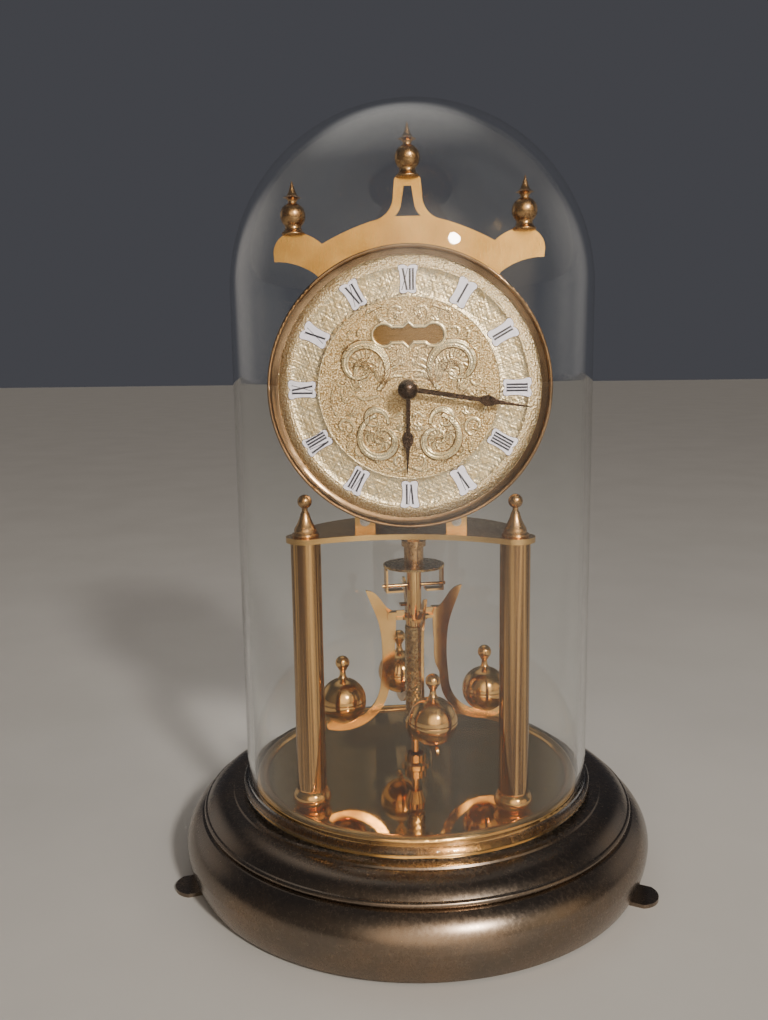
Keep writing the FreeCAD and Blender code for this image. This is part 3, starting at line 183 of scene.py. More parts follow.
def drawn_tube(name, bright, deep):
    """A polished drawn tube with painted reflections: light and dark streaks of colour run along it."""
    s = Shader(name)
    broad_reflection_bands = s.noise(3.6, stretch=(1.0, 1.0, 0.012), detail=3.0, roughness=0.6)
    fine = s.noise(0.9, stretch=(1.0, 1.0, 0.01), detail=2.0)
    streaks = s.sum(broad_reflection_bands, fine, 0.35)
    # Painted reflections: the colour runs from bright to nearly black brass in long streaks. These stand in
    # for the room that the polished tube mirrors.
    colour = s.blend(s.spread(streaks, 0.0, 1.0, 0.58, 0.78), bright, deep)
    rough = s.spread(fine, 0.07, 0.13)
    s.principled(colour, rough, s.bump(fine, 0.08, 0.01))
    return s.material


def brushed_metal(name, bright, deep, roughness, stretch):
    """Sheet brass with a satin grain along one direction."""
    s = Shader(name)
    grain = s.noise(0.12, stretch=stretch, detail=4.0, roughness=0.65)
    drift = s.noise(14.0, detail=2.0)
    colour = s.blend(s.spread(s.sum(drift, grain, 0.35), 0.0, 1.0, 0.5, 0.85), bright, deep)
    rough = s.spread(grain, roughness - 0.05, roughness + 0.08)
    s.principled(colour, rough, s.bump(grain, 0.22, 0.012))
    return s.material


def bronzed_metal():
    """The base's dark antique bronze: satin, mottled, with worn warm patches and fine specks."""
    s = Shader("antique_bronze")
    cloud = s.noise(26.0, detail=4.0, roughness=0.55)
    mottle = s.noise(1.5, detail=4.0, roughness=0.7)
    worn = s.spread(cloud, 0.0, 1.0, 0.4, 0.68)
    colour = s.blend(worn, (0.185, 0.150, 0.120), (0.255, 0.182, 0.125))
    colour = s.blend(s.spread(mottle, 0.0, 0.4, 0.4, 0.75), colour, (0.30, 0.235, 0.18))
    specks = s.spread(s.cells(2.6), 0.7, 0.0, 0.03, 0.10)
    colour = s.blend(specks, colour, (0.08, 0.058, 0.042))
    rough = s.spread(s.sum(mottle, cloud, 0.5), 0.20, 0.31, 0.5, 0.95)
    grain = s.noise(0.28, detail=3.0, roughness=0.6)
    s.principled(colour, rough, s.bump(s.sum(grain, mottle, 0.6), 0.16, 0.03), Coat_Weight=0.25,
                 Coat_Roughness=0.22)
    return s.material


def dark_metal():
    """Burnished hands: nearly black bronze with warm worn edges."""
    s = Shader("burnished_bronze")
    worn = s.spread(s.noise(1.8, detail=4.0), 0.0, 1.0)
    colour = s.blend(worn, (0.045, 0.032, 0.026), (0.12, 0.075, 0.05))
    rough = s.spread(s.noise(0.8), 0.24, 0.36)
    s.principled(colour, rough, s.bump(s.noise(0.2), 0.1, 0.01))
    return s.material


def steel(name, colour, roughness):
    """Ground steel with a fine grain along Y."""
    s = Shader(name)
    grain = s.noise(0.1, stretch=(1.0, 0.05, 1.0), detail=3.0)
    shade = s.blend(s.spread(s.noise(3.0), 0.0, 1.0), colour, tuple(0.72 * c for c in colour))
    s.principled(shade, s.spread(grain, roughness, roughness + 0.12), s.bump(grain, 0.12, 0.01))
    return s.material


def stippled_gilt(name, bright, deep):
    """The dial's punched ground: tiny raised grains that sparkle."""
    s = Shader(name)
    grains = s.cells(0.62)
    fine = s.noise(0.45, detail=3.0, roughness=0.7)
    colour = s.blend(s.spread(grains, 0.0, 1.0, 0.2, 0.7), bright, deep)
    rough = s.spread(fine, 0.24, 0.4)
    height = s.sum(grains, fine, -0.8)
    s.principled(colour, rough, s.bump(height, 1.0, 0.26))
    return s.material


def hatched_gilt():
    """The chapter ring: hair-fine lines crossing at many angles, as if scoured by hand."""
    s = Shader("hatched_gilt")
    strokes = None
    stroke_width, shift = 0.8, 0.37
    for k, angle in enumerate((18.0, 64.0, 107.0, 151.0)):
        turn = s.add("ShaderNodeMapping", Rotation=(0.0, math.radians(angle), 0.0))
        stretch = s.add("ShaderNodeMapping", Scale=(1.0, 1.0, 0.12), Location=(shift * k, 0.0, 0.0))
        lines = s.add("ShaderNodeTexNoise", Scale=1.0 / (stroke_width * MM), Detail=2.0)
        s.link(s.place, turn.inputs["Vector"])
        s.link(turn.outputs["Vector"], stretch.inputs["Vector"])
        s.link(stretch.outputs["Vector"], lines.inputs["Vector"])
        strokes = lines.outputs["Fac"] if strokes is None else s.sum(strokes, lines.outputs["Fac"])
    colour = s.blend(s.spread(strokes, 0.0, 1.0, 1.7, 2.35), (1.0, 0.87, 0.60), (0.78, 0.58, 0.30))
    rough = s.spread(strokes, 0.20, 0.34, 1.6, 2.4)
    s.principled(colour, rough, s.bump(strokes, 1.0, 0.24))
    return s.material


def smooth_gilt():
    """The blank window in the dial: plain, slightly streaky dark gold."""
    s = Shader("plain_gilt")
    streaks = s.noise(0.7, stretch=(0.25, 1.0, 1.0), detail=4.0)
    colour = s.blend(s.spread(streaks, 0.0, 1.0), (0.30, 0.175, 0.06), (0.19, 0.105, 0.032))
    s.principled(colour, s.spread(streaks, 0.26, 0.4), s.bump(streaks, 0.1, 0.01))
    return s.material


def enamel():
    """Glossy pale lilac-white enamel, very slightly uneven."""
    s = Shader("plaque_enamel")
    colour = s.blend(s.spread(s.noise(1.6), 0.0, 1.0), (0.80, 0.765, 0.845), (0.70, 0.665, 0.76))
    s.principled(colour, s.spread(s.noise(0.9), 0.16, 0.26), s.bump(s.noise(0.7), 0.05, 0.02),
                 metallic=0.0, Coat_Weight=0.4, Coat_Roughness=0.08)
    return s.material


def numeral_paint():
    """The numerals' black, fired into the enamel."""
    s = Shader("numeral_black")
    colour = s.blend(s.spread(s.noise(0.5), 0.0, 1.0), (0.012, 0.012, 0.02), (0.03, 0.03, 0.04))
    s.principled(colour, s.spread(s.noise(0.4), 0.28, 0.4), metallic=0.0)
    return s.material


def dome_glass():
    """Clear glass that lets lamps through to what stands inside it."""
    s = Shader("dome_glass")
    ripple = s.noise(38.0, detail=1.0)
    glass = s.principled((0.985, 0.995, 0.99), 0.0, s.bump(ripple, 0.05, 0.4), metallic=0.0,
                         Transmission_Weight=1.0, IOR=1.46)
    clear = s.add("ShaderNodeBsdfTransparent")
    path = s.add("ShaderNodeLightPath")
    mix = s.add("ShaderNodeMixShader")
    s.link(path.outputs["Is Shadow Ray"], mix.inputs[0])
    s.link(glass.outputs["BSDF"], mix.inputs[1])
    s.link(clear.outputs["BSDF"], mix.inputs[2])
    s.link(mix.outputs["Shader"], s.output.inputs["Surface"])
    return s.material


def floor_paint():
    """The plain pale floor."""
    s = Shader("pale_floor")
    colour = s.blend(s.spread(s.noise(90.0), 0.0, 1.0), (0.60, 0.59, 0.57), (0.56, 0.55, 0.53))
    s.principled(colour, 0.6, metallic=0.0)
    return s.material


BRASS = polished_metal("polished_brass", (0.86, 0.53, 0.20), (0.72, 0.41, 0.14), 0.08)
MIRROR = polished_metal("mirror_brass", (0.80, 0.57, 0.27), (0.74, 0.50, 0.22), 0.03, smudge=0.04)
TURNED = turned_metal("turned_brass", (0.62, 0.38, 0.17), (0.42, 0.24, 0.10), 0.18, (0.20, 0.11, 0.05))
BEZEL = polished_metal("bezel_brass", (0.56, 0.37, 0.21), (0.38, 0.24, 0.13), 0.11)
# The columns' tube: its dark streaks are painted reflections.
TUBE = drawn_tube("drawn_brass", (0.76, 0.46, 0.18), (0.22, 0.115, 0.05))
SATIN = brushed_metal("satin_brass", (0.81, 0.47, 0.14), (0.63, 0.34, 0.085), 0.22, (1.0, 1.0, 0.04))
MOVEMENT = brushed_metal("movement_brass", (0.80, 0.52, 0.21), (0.62, 0.38, 0.14), 0.22, (0.05, 1.0, 1.0))
BRONZE = bronzed_metal()
DARK = dark_metal()
STEEL = steel("polished_steel", (0.56, 0.56, 0.57), 0.2)
SPRING = steel("spring_alloy", (0.66, 0.64, 0.60), 0.16)
STIPPLE = stippled_gilt("stippled_gilt", (1.0, 0.87, 0.62), (0.72, 0.52, 0.26))
GROUND = stippled_gilt("punched_ground", (0.90, 0.71, 0.42), (0.44, 0.28, 0.11))
# Dark gold for the line round each raised stroke of the dial: painted shade at the foot of the relief.
SHADE_OUTLINE = polished_metal("shade_outline_gilt", (0.26, 0.16, 0.065), (0.19, 0.11, 0.045), 0.4)
SCROLL = polished_metal("scroll_gilt", (1.0, 0.88, 0.60), (0.90, 0.72, 0.40), 0.2)
HATCHED = hatched_gilt()
WINDOW = smooth_gilt()
FILIGREE = turned_metal("dark_filigree", (0.62, 0.42, 0.18), (0.36, 0.22, 0.09), 0.2, (0.10, 0.06, 0.03))
ENAMEL = enamel()
BLACK = numeral_paint()
GLASS = dome_glass()

FINISH = {
    "base_shell": BRONZE, "base_feet": BRONZE, "base_plate": MIRROR, "glass_dome": GLASS, "crest": SATIN,
    "platform": MOVEMENT, "crest_finials": TURNED, "column_finials": TURNED, "hand_nut": DARK,
    "pendulum_hub": TURNED, "regulating_disc": FILIGREE, "bezel": BEZEL, "dial": HATCHED,
    "suspension_spring": SPRING, "column_left": TUBE, "column_right": TUBE,
}
STEEL_NODES = ("click", "click_spring", "mainspring", "centre_arbor", "second_arbor", "first_arbor",
               "escape_arbor", "winding_arbor", "anchor", "anchor_arbor", "ratchet_wheel", "plate_screws",
               "tie_rods", "tie_rod_nuts")
MOVEMENT_NODES = ("front_plate", "back_plate", "plate_pillars", "movement_feet", "barrel", "barrel_cap",
                  "first_wheel", "second_wheel", "centre_wheel", "escape_wheel", "minute_wheel", "hour_wheel",
                  "cannon_pinion", "suspension_saddle", "suspension_top_block", "suspension_bottom_block",
                  "suspension_fork")
FINISH.update({node: STEEL for node in STEEL_NODES})
FINISH.update({node: MOVEMENT for node in MOVEMENT_NODES})
for node, item in NODES.items():
    item.data.materials.clear()
    item.data.materials.append(FINISH.get(node, BRASS))


# ---------------------------------------------------------------- mesh helpers
def placed(name, mesh, body):
    """Put a finished mesh in the scene as a piece that rides on a body."""
    item = bpy.data.objects.new(name, mesh)
    bpy.context.scene.collection.objects.link(item)
    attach(item, body)
    return item


def matrix_from(axes, origin):
    """The matrix whose columns are three axes, at an origin in metres."""
    matrix = Matrix.Identity(4)
    for column, axis in enumerate(axes):
        for row in range(3):
            matrix[row][column] = axis[row]
    matrix.translation = origin
    return matrix


def piece_from(name, vertices, faces, materials, body):
    """A smooth piece in metres, from vertices in millimetres."""
    mesh = bpy.data.meshes.new(name)
    mesh.from_pydata([tuple(MM * c for c in v) for v in vertices], [], faces)
    for material in materials:
        mesh.materials.append(material)
    mesh.polygons.foreach_set("use_smooth", [True] * len(mesh.polygons))
    mesh.update()
    return placed(name, mesh, body)


def lathe(name, profile, at, material, body, segments=96, radius_at=None):
    """Turn a profile of (radius, height) about a vertical axis. Both ends lie on the axis."""
    rings = profile[1:-1]
    vertices = [(at[0], at[1], profile[0][1])]
    for radius, height in rings:
        for k in range(segments):
            angle = 2 * math.pi * k / segments
            reach = radius + (radius_at(angle, height) if radius_at else 0.0)
            vertices.append((at[0] + reach * math.cos(angle), at[1] + reach * math.sin(angle), height))
    vertices.append((at[0], at[1], profile[-1][1]))
    last = len(vertices) - 1
    faces = []
    for k in range(segments):
        after = (k + 1) % segments
        faces.append((0, 1 + after, 1 + k))
        for ring in range(len(rings) - 1):
            a, b = 1 + ring * segments, 1 + (ring + 1) * segments
            faces.append((a + k, a + after, b + after, b + k))
        top = 1 + (len(rings) - 1) * segments
        faces.append((top + k, top + after, last))
    return piece_from(name, vertices, faces, [material], body)


def rounded(points, closed=True, steps=6):
    """A smooth curve through points, as a Catmull-Rom spline."""
    count = len(points)
    curve = []
    for i in range(count if closed else count - 1):
        if closed:
            a, b, c, d = (np.array(points[(i + k) % count], float) for k in (-1, 0, 1, 2))
        else:
            a, b, c, d = (np.array(points[min(max(i + k, 0), count - 1)], float) for k in (-1, 0, 1, 2))
        for step in range(steps):
            t = step / steps
            curve.append(tuple(0.5 * ((2 * b) + (c - a) * t + (2 * a - 5 * b + 4 * c - d) * t ** 2
                                      + (3 * b - a - 3 * c + d) * t ** 3)))
    if not closed:
        curve.append(tuple(points[-1]))
    return curve


def both_sides(half):
    """A closed outline from its right half, listed from the bottom of the middle line to the top."""
    return list(half) + [(-x, z) for x, z in reversed(half) if abs(x) > 1e-6]


def dial_matrix(turn_degrees, back_y):
    """From a drawing (across, outward, forward) to the dial at a clock angle, in metres."""
    turn = math.radians(turn_degrees)
    across = Vector((math.cos(turn), 0, -math.sin(turn)))
    outward = Vector((math.sin(turn), 0, math.cos(turn)))
    return matrix_from((across, outward, Vector((0, -1, 0))), Vector((DIAL_X, back_y, DIAL_Z)) * MM)


def cut_out(name, outlines, thickness, bevel, turn_degrees, back_y, material, body):
    """A flat piece with rounded edges: filled outlines (across, outward), standing on the plane back_y."""
    curve = bpy.data.curves.new(name, "CURVE")
    curve.dimensions = "2D"
    curve.fill_mode = "BOTH"
    curve.extrude = (thickness / 2 - bevel) * MM
    curve.bevel_depth = bevel * MM
    curve.bevel_resolution = 2
    curve.offset = -bevel * MM
    for outline in outlines:
        spline = curve.splines.new("POLY")
        spline.points.add(len(outline) - 1)
        for point, (x, y) in zip(spline.points, outline):
            point.co = (x * MM, y * MM, 0.0, 1.0)
        spline.use_cyclic_u = True
    holder = bpy.data.objects.new(name + "_outline", curve)
    bpy.context.scene.collection.objects.link(holder)
    mesh = bpy.data.meshes.new_from_object(holder.evaluated_get(bpy.context.evaluated_depsgraph_get()))
    bpy.data.objects.remove(holder)
    mesh.transform(dial_matrix(turn_degrees, back_y) @ Matrix.Translation((0, 0, thickness / 2 * MM)))
    mesh.materials.clear()
    mesh.materials.append(material)
    return placed(name, mesh, body)


# ---------------------------------------------------------------- embossed dial
def spiral(centre, start_radius, end_radius, start_degrees, sweep_degrees, width, end_width, height=0.34):
    """A scroll: its middle line, half widths and height."""
    steps = 70
    t = np.linspace(0, 1, steps)
    radius = end_radius + (start_radius - end_radius) * (1 - t) ** 1.15
    angle = np.radians(start_degrees + sweep_degrees * t)
    line = np.stack([centre[0] + radius * np.cos(angle), centre[1] + radius * np.sin(angle)], axis=1)
    swell = 0.35 + 0.65 * np.sin(np.pi * np.clip(t * 1.4, 0, 1)) if end_width < width else np.ones(steps)
    return line, (width + (end_width - width) * t) * np.maximum(swell, 0.45), height


def leaf(points, width, height=0.3):
    """An acanthus leaf along a curve: widest at a third of its length, pointed at its tip."""
    line = np.array(rounded(points, closed=False, steps=14))
    t = np.linspace(0, 1, len(line))
    return line, width * (0.25 + 0.75 * np.sin(np.pi * t ** 0.7)) * (1 - 0.75 * t), height


def fan(root, start_degrees, end_degrees, count, reach, curl, width):
    """Leaves that spread from one root, each bending the same way."""
    leaves = []
    for k in range(count):
        part = k / max(count - 1, 1)
        angle = math.radians(start_degrees + (end_degrees - start_degrees) * part)
        length = reach * (0.72 + 0.28 * math.sin(math.pi * part))
        points = []
        for step in range(4):
            along = length * step / 3
            bend = angle + math.radians(curl) * (step / 3) ** 1.5
            points.append((root[0] + along * math.cos(bend), root[1] + along * math.sin(bend)))
        leaves.append(leaf(points, width))
    return leaves


def ornament():
    """The right half of the dial's scrollwork, as strokes (across, up)."""
    strokes = [
        spiral((17.0, 8.4), 10.4, 1.6, 232, -500, 2.1, 0.8, 0.46),
        spiral((15.8, 5.6), 5.4, 1.4, 150, -330, 1.3, 0.5, 0.36),
        spiral((10.2, -18.4), 9.0, 1.4, 75, -520, 2.0, 0.7, 0.46),
        spiral((12.6, -11.4), 5.0, 1.2, 190, -380, 1.5, 0.6, 0.4),
        spiral((23.6, -13.6), 3.7, 0.7, 250, -460, 0.75, 0.4, 0.32),
        spiral((24.6, 3.0), 2.6, 0.6, 120, 400, 0.6, 0.35, 0.28),
        spiral((4.2, 27.2), 3.2, 0.7, -60, 420, 0.6, 0.35, 0.28),
        spiral((13.6, 26.6), 2.5, 0.6, 200, -380, 0.55, 0.3, 0.26),
        spiral((16.6, 19.6), 2.7, 0.7, 150, -300, 0.6, 0.35, 0.3),
        spiral((2.5, 12.6), 1.9, 0.5, 100, -360, 0.5, 0.3, 0.26),
        spiral((3.8, -26.0), 2.4, 0.6, 250, 380, 0.6, 0.3, 0.28),
        spiral((17.6, -22.6), 2.6, 0.6, 60, -380, 0.6, 0.35, 0.28),
        leaf([(2.2, 4.4), (5.6, 4.6), (8.6, 2.0), (10.6, -2.4)], 0.8, 0.34),
        leaf([(10.6, -2.4), (16.4, -3.6), (20.4, -1.2), (24.0, 3.0)], 0.8, 0.3),
        leaf([(26.4, -9.8), (28.2, -5.0), (27.8, 0.6), (25.6, 6.4)], 0.55, 0.26),
        leaf([(1.4, -9.8), (3.2, -8.8), (5.2, -10.2), (7.4, -10.4)], 0.6, 0.3),
        leaf([(0.6, -28.6), (4.6, -30.0), (8.6, -28.8), (13.0, -27.2)], 0.7, 0.28),
        leaf([(20.4, -17.6), (22.6, -19.8), (22.2, -22.6), (19.4, -25.0)], 0.6, 0.26),
        leaf([(8.4, 29.6), (11.6, 28.6), (16.8, 25.8), (20.2, 22.4)], 0.5, 0.24),
        leaf([(20.6, 21.6), (21.8, 19.4), (20.4, 17.8), (18.2, 17.4)], 0.6, 0.26),
    ]
    strokes += fan((9.0, 1.8), 118, 42, 7, 13.5, 34, 1.0)
    strokes += fan((13.4, 6.2), 150, 20, 6, 6.0, -50, 0.7)
    strokes += fan((17.5, 0.6), 60, -50, 5, 6.0, 60, 0.7)
    strokes += fan((13.6, -15.4), 35, -95, 6, 6.4, -55, 0.8)
    strokes += fan((4.6, -13.6), 250, 160, 4, 4.6, -50, 0.6)
    strokes += fan((20.4, -9.6), 120, 0, 4, 4.6, 40, 0.55)
    strokes += fan((4.2, 24.6), 120, 60, 5, 5.4, 12, 0.5)
    strokes += fan((7.0, 14.4), 30, 140, 5, 3.6, 30, 0.5)
    strokes += fan((12.0, -27.0), 40, 140, 4, 3.4, -30, 0.45)
    strokes += fan((17.0, 8.4), 200, 20, 9, 8.6, -46, 0.75)
    strokes += fan((10.2, -18.4), 20, 250, 9, 7.6, 46, 0.7)
    strokes += fan((2.0, -22.0), 80, 20, 4, 5.0, -30, 0.5)
    strokes += fan((24.6, -3.0), 250, 100, 5, 4.4, -40, 0.5)
    strokes += fan((1.6, 8.4), 80, 10, 4, 4.6, 40, 0.5)
    strokes += fan((22.0, 14.0), 130, 20, 5, 4.6, -40, 0.5)
    strokes += fan((9.8, 23.8), 150, 30, 5, 3.4, 30, 0.45)
    return strokes


def stamp(height, shade_outline, x, z, stroke):
    """Raise the ground along one stroke, with a rounded section and fine veins, and mark a line of painted
    shade round its outline.
    """
    line, half_width, crown = stroke
    margin = half_width.max()
    low, high = line.min(axis=0) - margin, line.max(axis=0) + margin
    near = np.nonzero((x > low[0]) & (x < high[0]) & (z > low[1]) & (z < high[1]))[0]
    gap = np.hypot(x[near, None] - line[None, :, 0], z[near, None] - line[None, :, 1])
    closest = gap.argmin(axis=1)
    share = gap[np.arange(len(near)), closest] / half_width[closest]
    # A band across the stroke's edge gets the dark finish: painted shade where the relief meets the ground.
    outline_start, outline_end = 0.88, 1.2
    shade_outline[near[(share > outline_start) & (share < outline_end)]] = True
    inside = share < 1.0
    dome = np.sqrt(np.clip(1 - share[inside] ** 2, 0, 1))
    ridges = np.where(half_width[closest][inside] > 1.0, 2.5, 1.5)
    veins = 0.6 + 0.4 * np.cos(share[inside] * 2 * math.pi * ridges)
    target = near[inside]
    height[target] = np.maximum(height[target], RELIEF * crown * dome * veins)


def window_distance(x, z):
    """Signed distance to the lobed blank window above the dial's centre."""
    middle, half_length, half_height, lobe = 19.3, 9.0, 2.3, 3.55
    bar = np.maximum(np.abs(x) - half_length, np.abs(z - middle) - half_height)
    ends = np.hypot(np.abs(x) - half_length, z - middle) - lobe
    tips = np.abs(x) * 0.95 + np.abs(z - middle) - 4.0
    return np.minimum(np.minimum(bar, ends), tips)


def make_dial_face():
    """One plate over the CAD dial: relief in the middle, chapter ring and stippled border outside."""
    skin, bore, segments = 0.04, 2.62, 720
    dense = list(np.linspace(bore, RELIEF_RADIUS, 120))
    # Outside the relief, as (radius, height): a bead, the chapter ring, two fillets and the border.
    bead, inner_fillet, outer_fillet, border = 0.16, 0.14, 0.12, 0.07
    chapter_end = 43.2
    outside = [(RELIEF_RADIUS + 0.1, bead), (RELIEF_RADIUS + 0.38, bead), (RELIEF_RADIUS + 0.5, skin)]
    outside += [(r, skin) for r in (35.0, 38.0, 41.0, chapter_end)]
    outside += [(43.3, inner_fillet), (43.55, inner_fillet), (43.7, skin)]
    outside += [(43.95, skin), (44.05, outer_fillet), (44.2, outer_fillet)]
    outside += [(44.3, border), (OPENING - 0.1, border)]
    radii = np.array(dense + [r for r, _ in outside])
    angle = np.linspace(0, 2 * math.pi, segments, endpoint=False)
    radius_grid, angle_grid = np.meshgrid(radii, angle, indexing="ij")
    x = (radius_grid * np.cos(angle_grid)).ravel()
    z = (radius_grid * np.sin(angle_grid)).ravel()
    height = np.zeros(len(x))
    relief_count = len(dense) * segments
    mirrored_x = np.abs(x[:relief_count])
    part = height[:relief_count]
    shade_outline = np.zeros(relief_count, bool)
    for stroke in ornament():
        stamp(part, shade_outline, mirrored_x, z[:relief_count], stroke)
    window = window_distance(x[:relief_count], z[:relief_count])
    rim_half, rim_height, rim_end = 0.6, 0.30, 1.1
    rim = rim_height * np.sqrt(np.clip(1 - ((window - rim_half) / rim_half) ** 2, 0, 1))
    clear = window > rim_end
    part[:] = np.where(clear, part, rim)
    rng = np.random.default_rng(4)
    ground = (part < 0.02) & (window > 0)
    grain = 0.03
    part[:] += np.where(ground, grain * rng.random(relief_count), 0.0)
    part[:] += skin
    for k, (_, level) in enumerate(outside):
        height[(len(dense) + k) * segments:(len(dense) + k + 1) * segments] = level

    rows = len(radii)
    front = np.stack([DIAL_X + x, DIAL_Y - height, DIAL_Z + z], axis=1)
    rims = []
    for r in (radii[0], radii[-1]):
        rims.append(np.stack([DIAL_X + r * np.cos(angle), np.full(segments, DIAL_Y),
                              DIAL_Z + r * np.sin(angle)], axis=1))
    vertices = np.concatenate([front] + rims)
    inner, outer = rows * segments, (rows + 1) * segments
    faces, slots = [], []
    window_row = window.reshape(len(dense), segments)
    shine = (part.reshape(len(dense), segments) - skin) > 0.1
    shade_outline = shade_outline.reshape(len(dense), segments) & (window_row > rim_end)
    border_face, chapter_face, window_face, scroll_face, ground_face, shade_outline_face = range(6)
    for i in range(rows - 1):
        a, b = i * segments, (i + 1) * segments
        for k in range(segments):
            after = (k + 1) % segments
            faces.append((a + k, a + after, b + after, b + k))
            if i >= len(dense) - 1:
                slots.append(chapter_face if radii[i] < chapter_end else border_face)
            elif window_row[i, k] < 0:
                slots.append(window_face)
            # Painted shade: the dark line round each raised stroke.
            elif shade_outline[i, k]:
                slots.append(shade_outline_face)
            else:
                slots.append(scroll_face if shine[i, k] else ground_face)
    for k in range(segments):
        after = (k + 1) % segments
        faces.append((inner + k, inner + after, after, k))
        last = (rows - 1) * segments
        faces.append((last + k, last + after, outer + after, outer + k))
        faces.append((outer + k, outer + after, inner + after, inner + k))
        slots += [border_face] * 3
    surfaces = [STIPPLE, HATCHED, WINDOW, SCROLL, GROUND, SHADE_OUTLINE]
    item = piece_from("dial_face", vertices.tolist(), faces, surfaces, "root")
    item.data.polygons.foreach_set("material_index", slots)


# ---------------------------------------------------------------- plaques and numerals
ROMAN = ("XII", "I", "II", "III", "IIII", "V", "VI", "VII", "VIII", "IX", "X", "XI")
# The right half of a plaque: how far across, and how far from the dial's centre.
PLAQUE_HALF = [(0.0, 34.6), (0.5, 34.25), (1.6, 33.97), (2.65, 34.2), (3.0, 35.1), (2.8, 36.4), (2.74, 38.2),
               (2.86, 40.2), (3.12, 41.7), (3.48, 42.7), (3.3, 43.6), (2.4, 43.97), (1.3, 43.92),
               (0.5, 43.6), (0.0, 43.2)]


def bar(start, end, half_width):
    """A stroke of a numeral as a four-sided outline."""
    (x0, y0), (x1, y1) = start, end
    return [(x0 - half_width, y0), (x0 + half_width, y0), (x1 + half_width, y1), (x1 - half_width, y1)]


def letter(mark, left, low, high, thick, thin):
    """The outlines of I, V or X standing at left, and how wide it is."""
    serif = 0.08

    def foot(x, y, half):
        """A serif."""
        return [(x - half, y - serif), (x + half, y - serif), (x + half, y + serif), (x - half, y + serif)]

    if mark == "I":
        x = left + thick
        shapes = [bar((x, low), (x, high), thick), foot(x, low, thick + 0.16), foot(x, high, thick + 0.16)]
        return shapes, 2 * thick
    width = 2.15 if mark == "X" else 1.9
    heavy_top, heavy_low = left + thick, left + width - thick
    right = left + width
    if mark == "V":
        middle = left + width * 0.55
        shapes = [bar((middle, low), (heavy_top, high), thick), bar((middle, low), (right, high), thin),
                  foot(heavy_top, high, thick + 0.2), foot(right, high, 0.3)]
        return shapes, width
    shapes = [bar((heavy_low, low), (heavy_top, high), thick), bar((left, low), (right, high), thin),
              foot(heavy_low, low, thick + 0.16), foot(heavy_top, high, thick + 0.16),
              foot(left, low, 0.26), foot(right, high, 0.26)]
    return shapes, width


def make_plaques():
    """Twelve enamel plaques, each with its numeral standing on it, on slightly larger dark pieces: a dark rim
    round each plaque, partly its outline and partly painted shadow.
    """
    outline = rounded(both_sides(PLAQUE_HALF))
    middle = (33.95 + 44.0) / 2
    # The dark rim round each plaque: its outline, with painted shadow at the plaque's edge.
    shadow_rim = [(x * 1.055, middle + (z - middle) * 1.035) for x, z in outline]
    proud = DIAL_Y - PLAQUE_Y
    edge_height, plaque_height, paint = proud * 0.55, proud * 0.88, 0.04
    low, high, thick, thin, gap = 35.2, 42.6, 0.36, 0.12, 0.38
    first = None
    for hour, text in enumerate(ROMAN):
        turn = 30.0 * hour
        edge = cut_out("plaque_edge_%d" % hour, [shadow_rim], edge_height, 0.03, turn, DIAL_Y, DARK,
                       "root")
        cut_out("plaque_%d" % hour, [outline], plaque_height, 0.08, turn, DIAL_Y, ENAMEL,
                "root")
        first = first or edge
        strokes, left = [], 0.0
        for mark in text:
            shapes, width = letter(mark, left, low, high, thick, thin)
            strokes += shapes
            left += width + gap
        shift = (left - gap) / 2
        for k, shape in enumerate(strokes):
            moved = [(x - shift, y) for x, y in shape]
            # Every other stroke lies a hair deeper, so that crossing strokes don't share a surface.
            back = DIAL_Y - plaque_height + 0.005 * (k % 2)
            cut_out("numeral_%d_%d" % (hour, k), [moved], paint, 0.0, turn, back, BLACK, "root")
    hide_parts("numeral_plaques")


# ---------------------------------------------------------------- hands
def hand_outline(arm, spade_at, spade_half, length):
    """A spade hand from its hub outwards, right half."""
    return [(arm, 0.0), (arm * 0.82, spade_at - 3.6), (arm * 0.95, spade_at - 2.9),
            (spade_half * 0.72, spade_at - 2.2), (spade_half, spade_at - 0.6),
            (spade_half * 0.86, spade_at + 1.2), (arm * 0.98, spade_at + 3.2),
            (arm * 0.62, spade_at + 5.6), (arm * 0.4, length - 4.0), (0.14, length), (0.0, length + 0.1)]


def circle(radius, count=64):
    """A round outline."""
    return [(radius * math.cos(2 * math.pi * k / count), radius * math.sin(2 * math.pi * k / count))
            for k in range(count)]


def make_hands():
    """Each hand is an arm and the eye that sits on its pipe."""
    thick = 0.6
    for name, body, turn, arm, spade, half, length, hub, bore in (
            ("hour_hand", "hour", 181.3, 0.85, 18.6, 2.15, 31.0, 3.2, 1.52),
            ("minute_hand", "minute", 98.9, 0.95, 29.0, 2.05, 44.2, 3.0, 0.92)):
        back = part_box(name)[0][1] / MM + thick
        root = hub * 0.7
        right = [(0.0, root)] + [(x, max(z, root)) for x, z in hand_outline(arm, spade, half, length)]
        arm_piece = cut_out(name + "_arm", [both_sides(right)], thick, 0.2, turn, back, DARK, body)
        cut_out(name + "_eye", [circle(hub), circle(bore)[::-1]], thick, 0.12, turn, back, DARK, body)
        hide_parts(name)


# ---------------------------------------------------------------- pendulum
def arc(centre, radius, start, end, steps):
    """Points of a profile arc, by angle above the horizontal in degrees."""
    return [(radius * math.cos(math.radians(start + (end - start) * k / steps)),
             centre + radius * math.sin(math.radians(start + (end - start) * k / steps)))
            for k in range(steps + 1)]


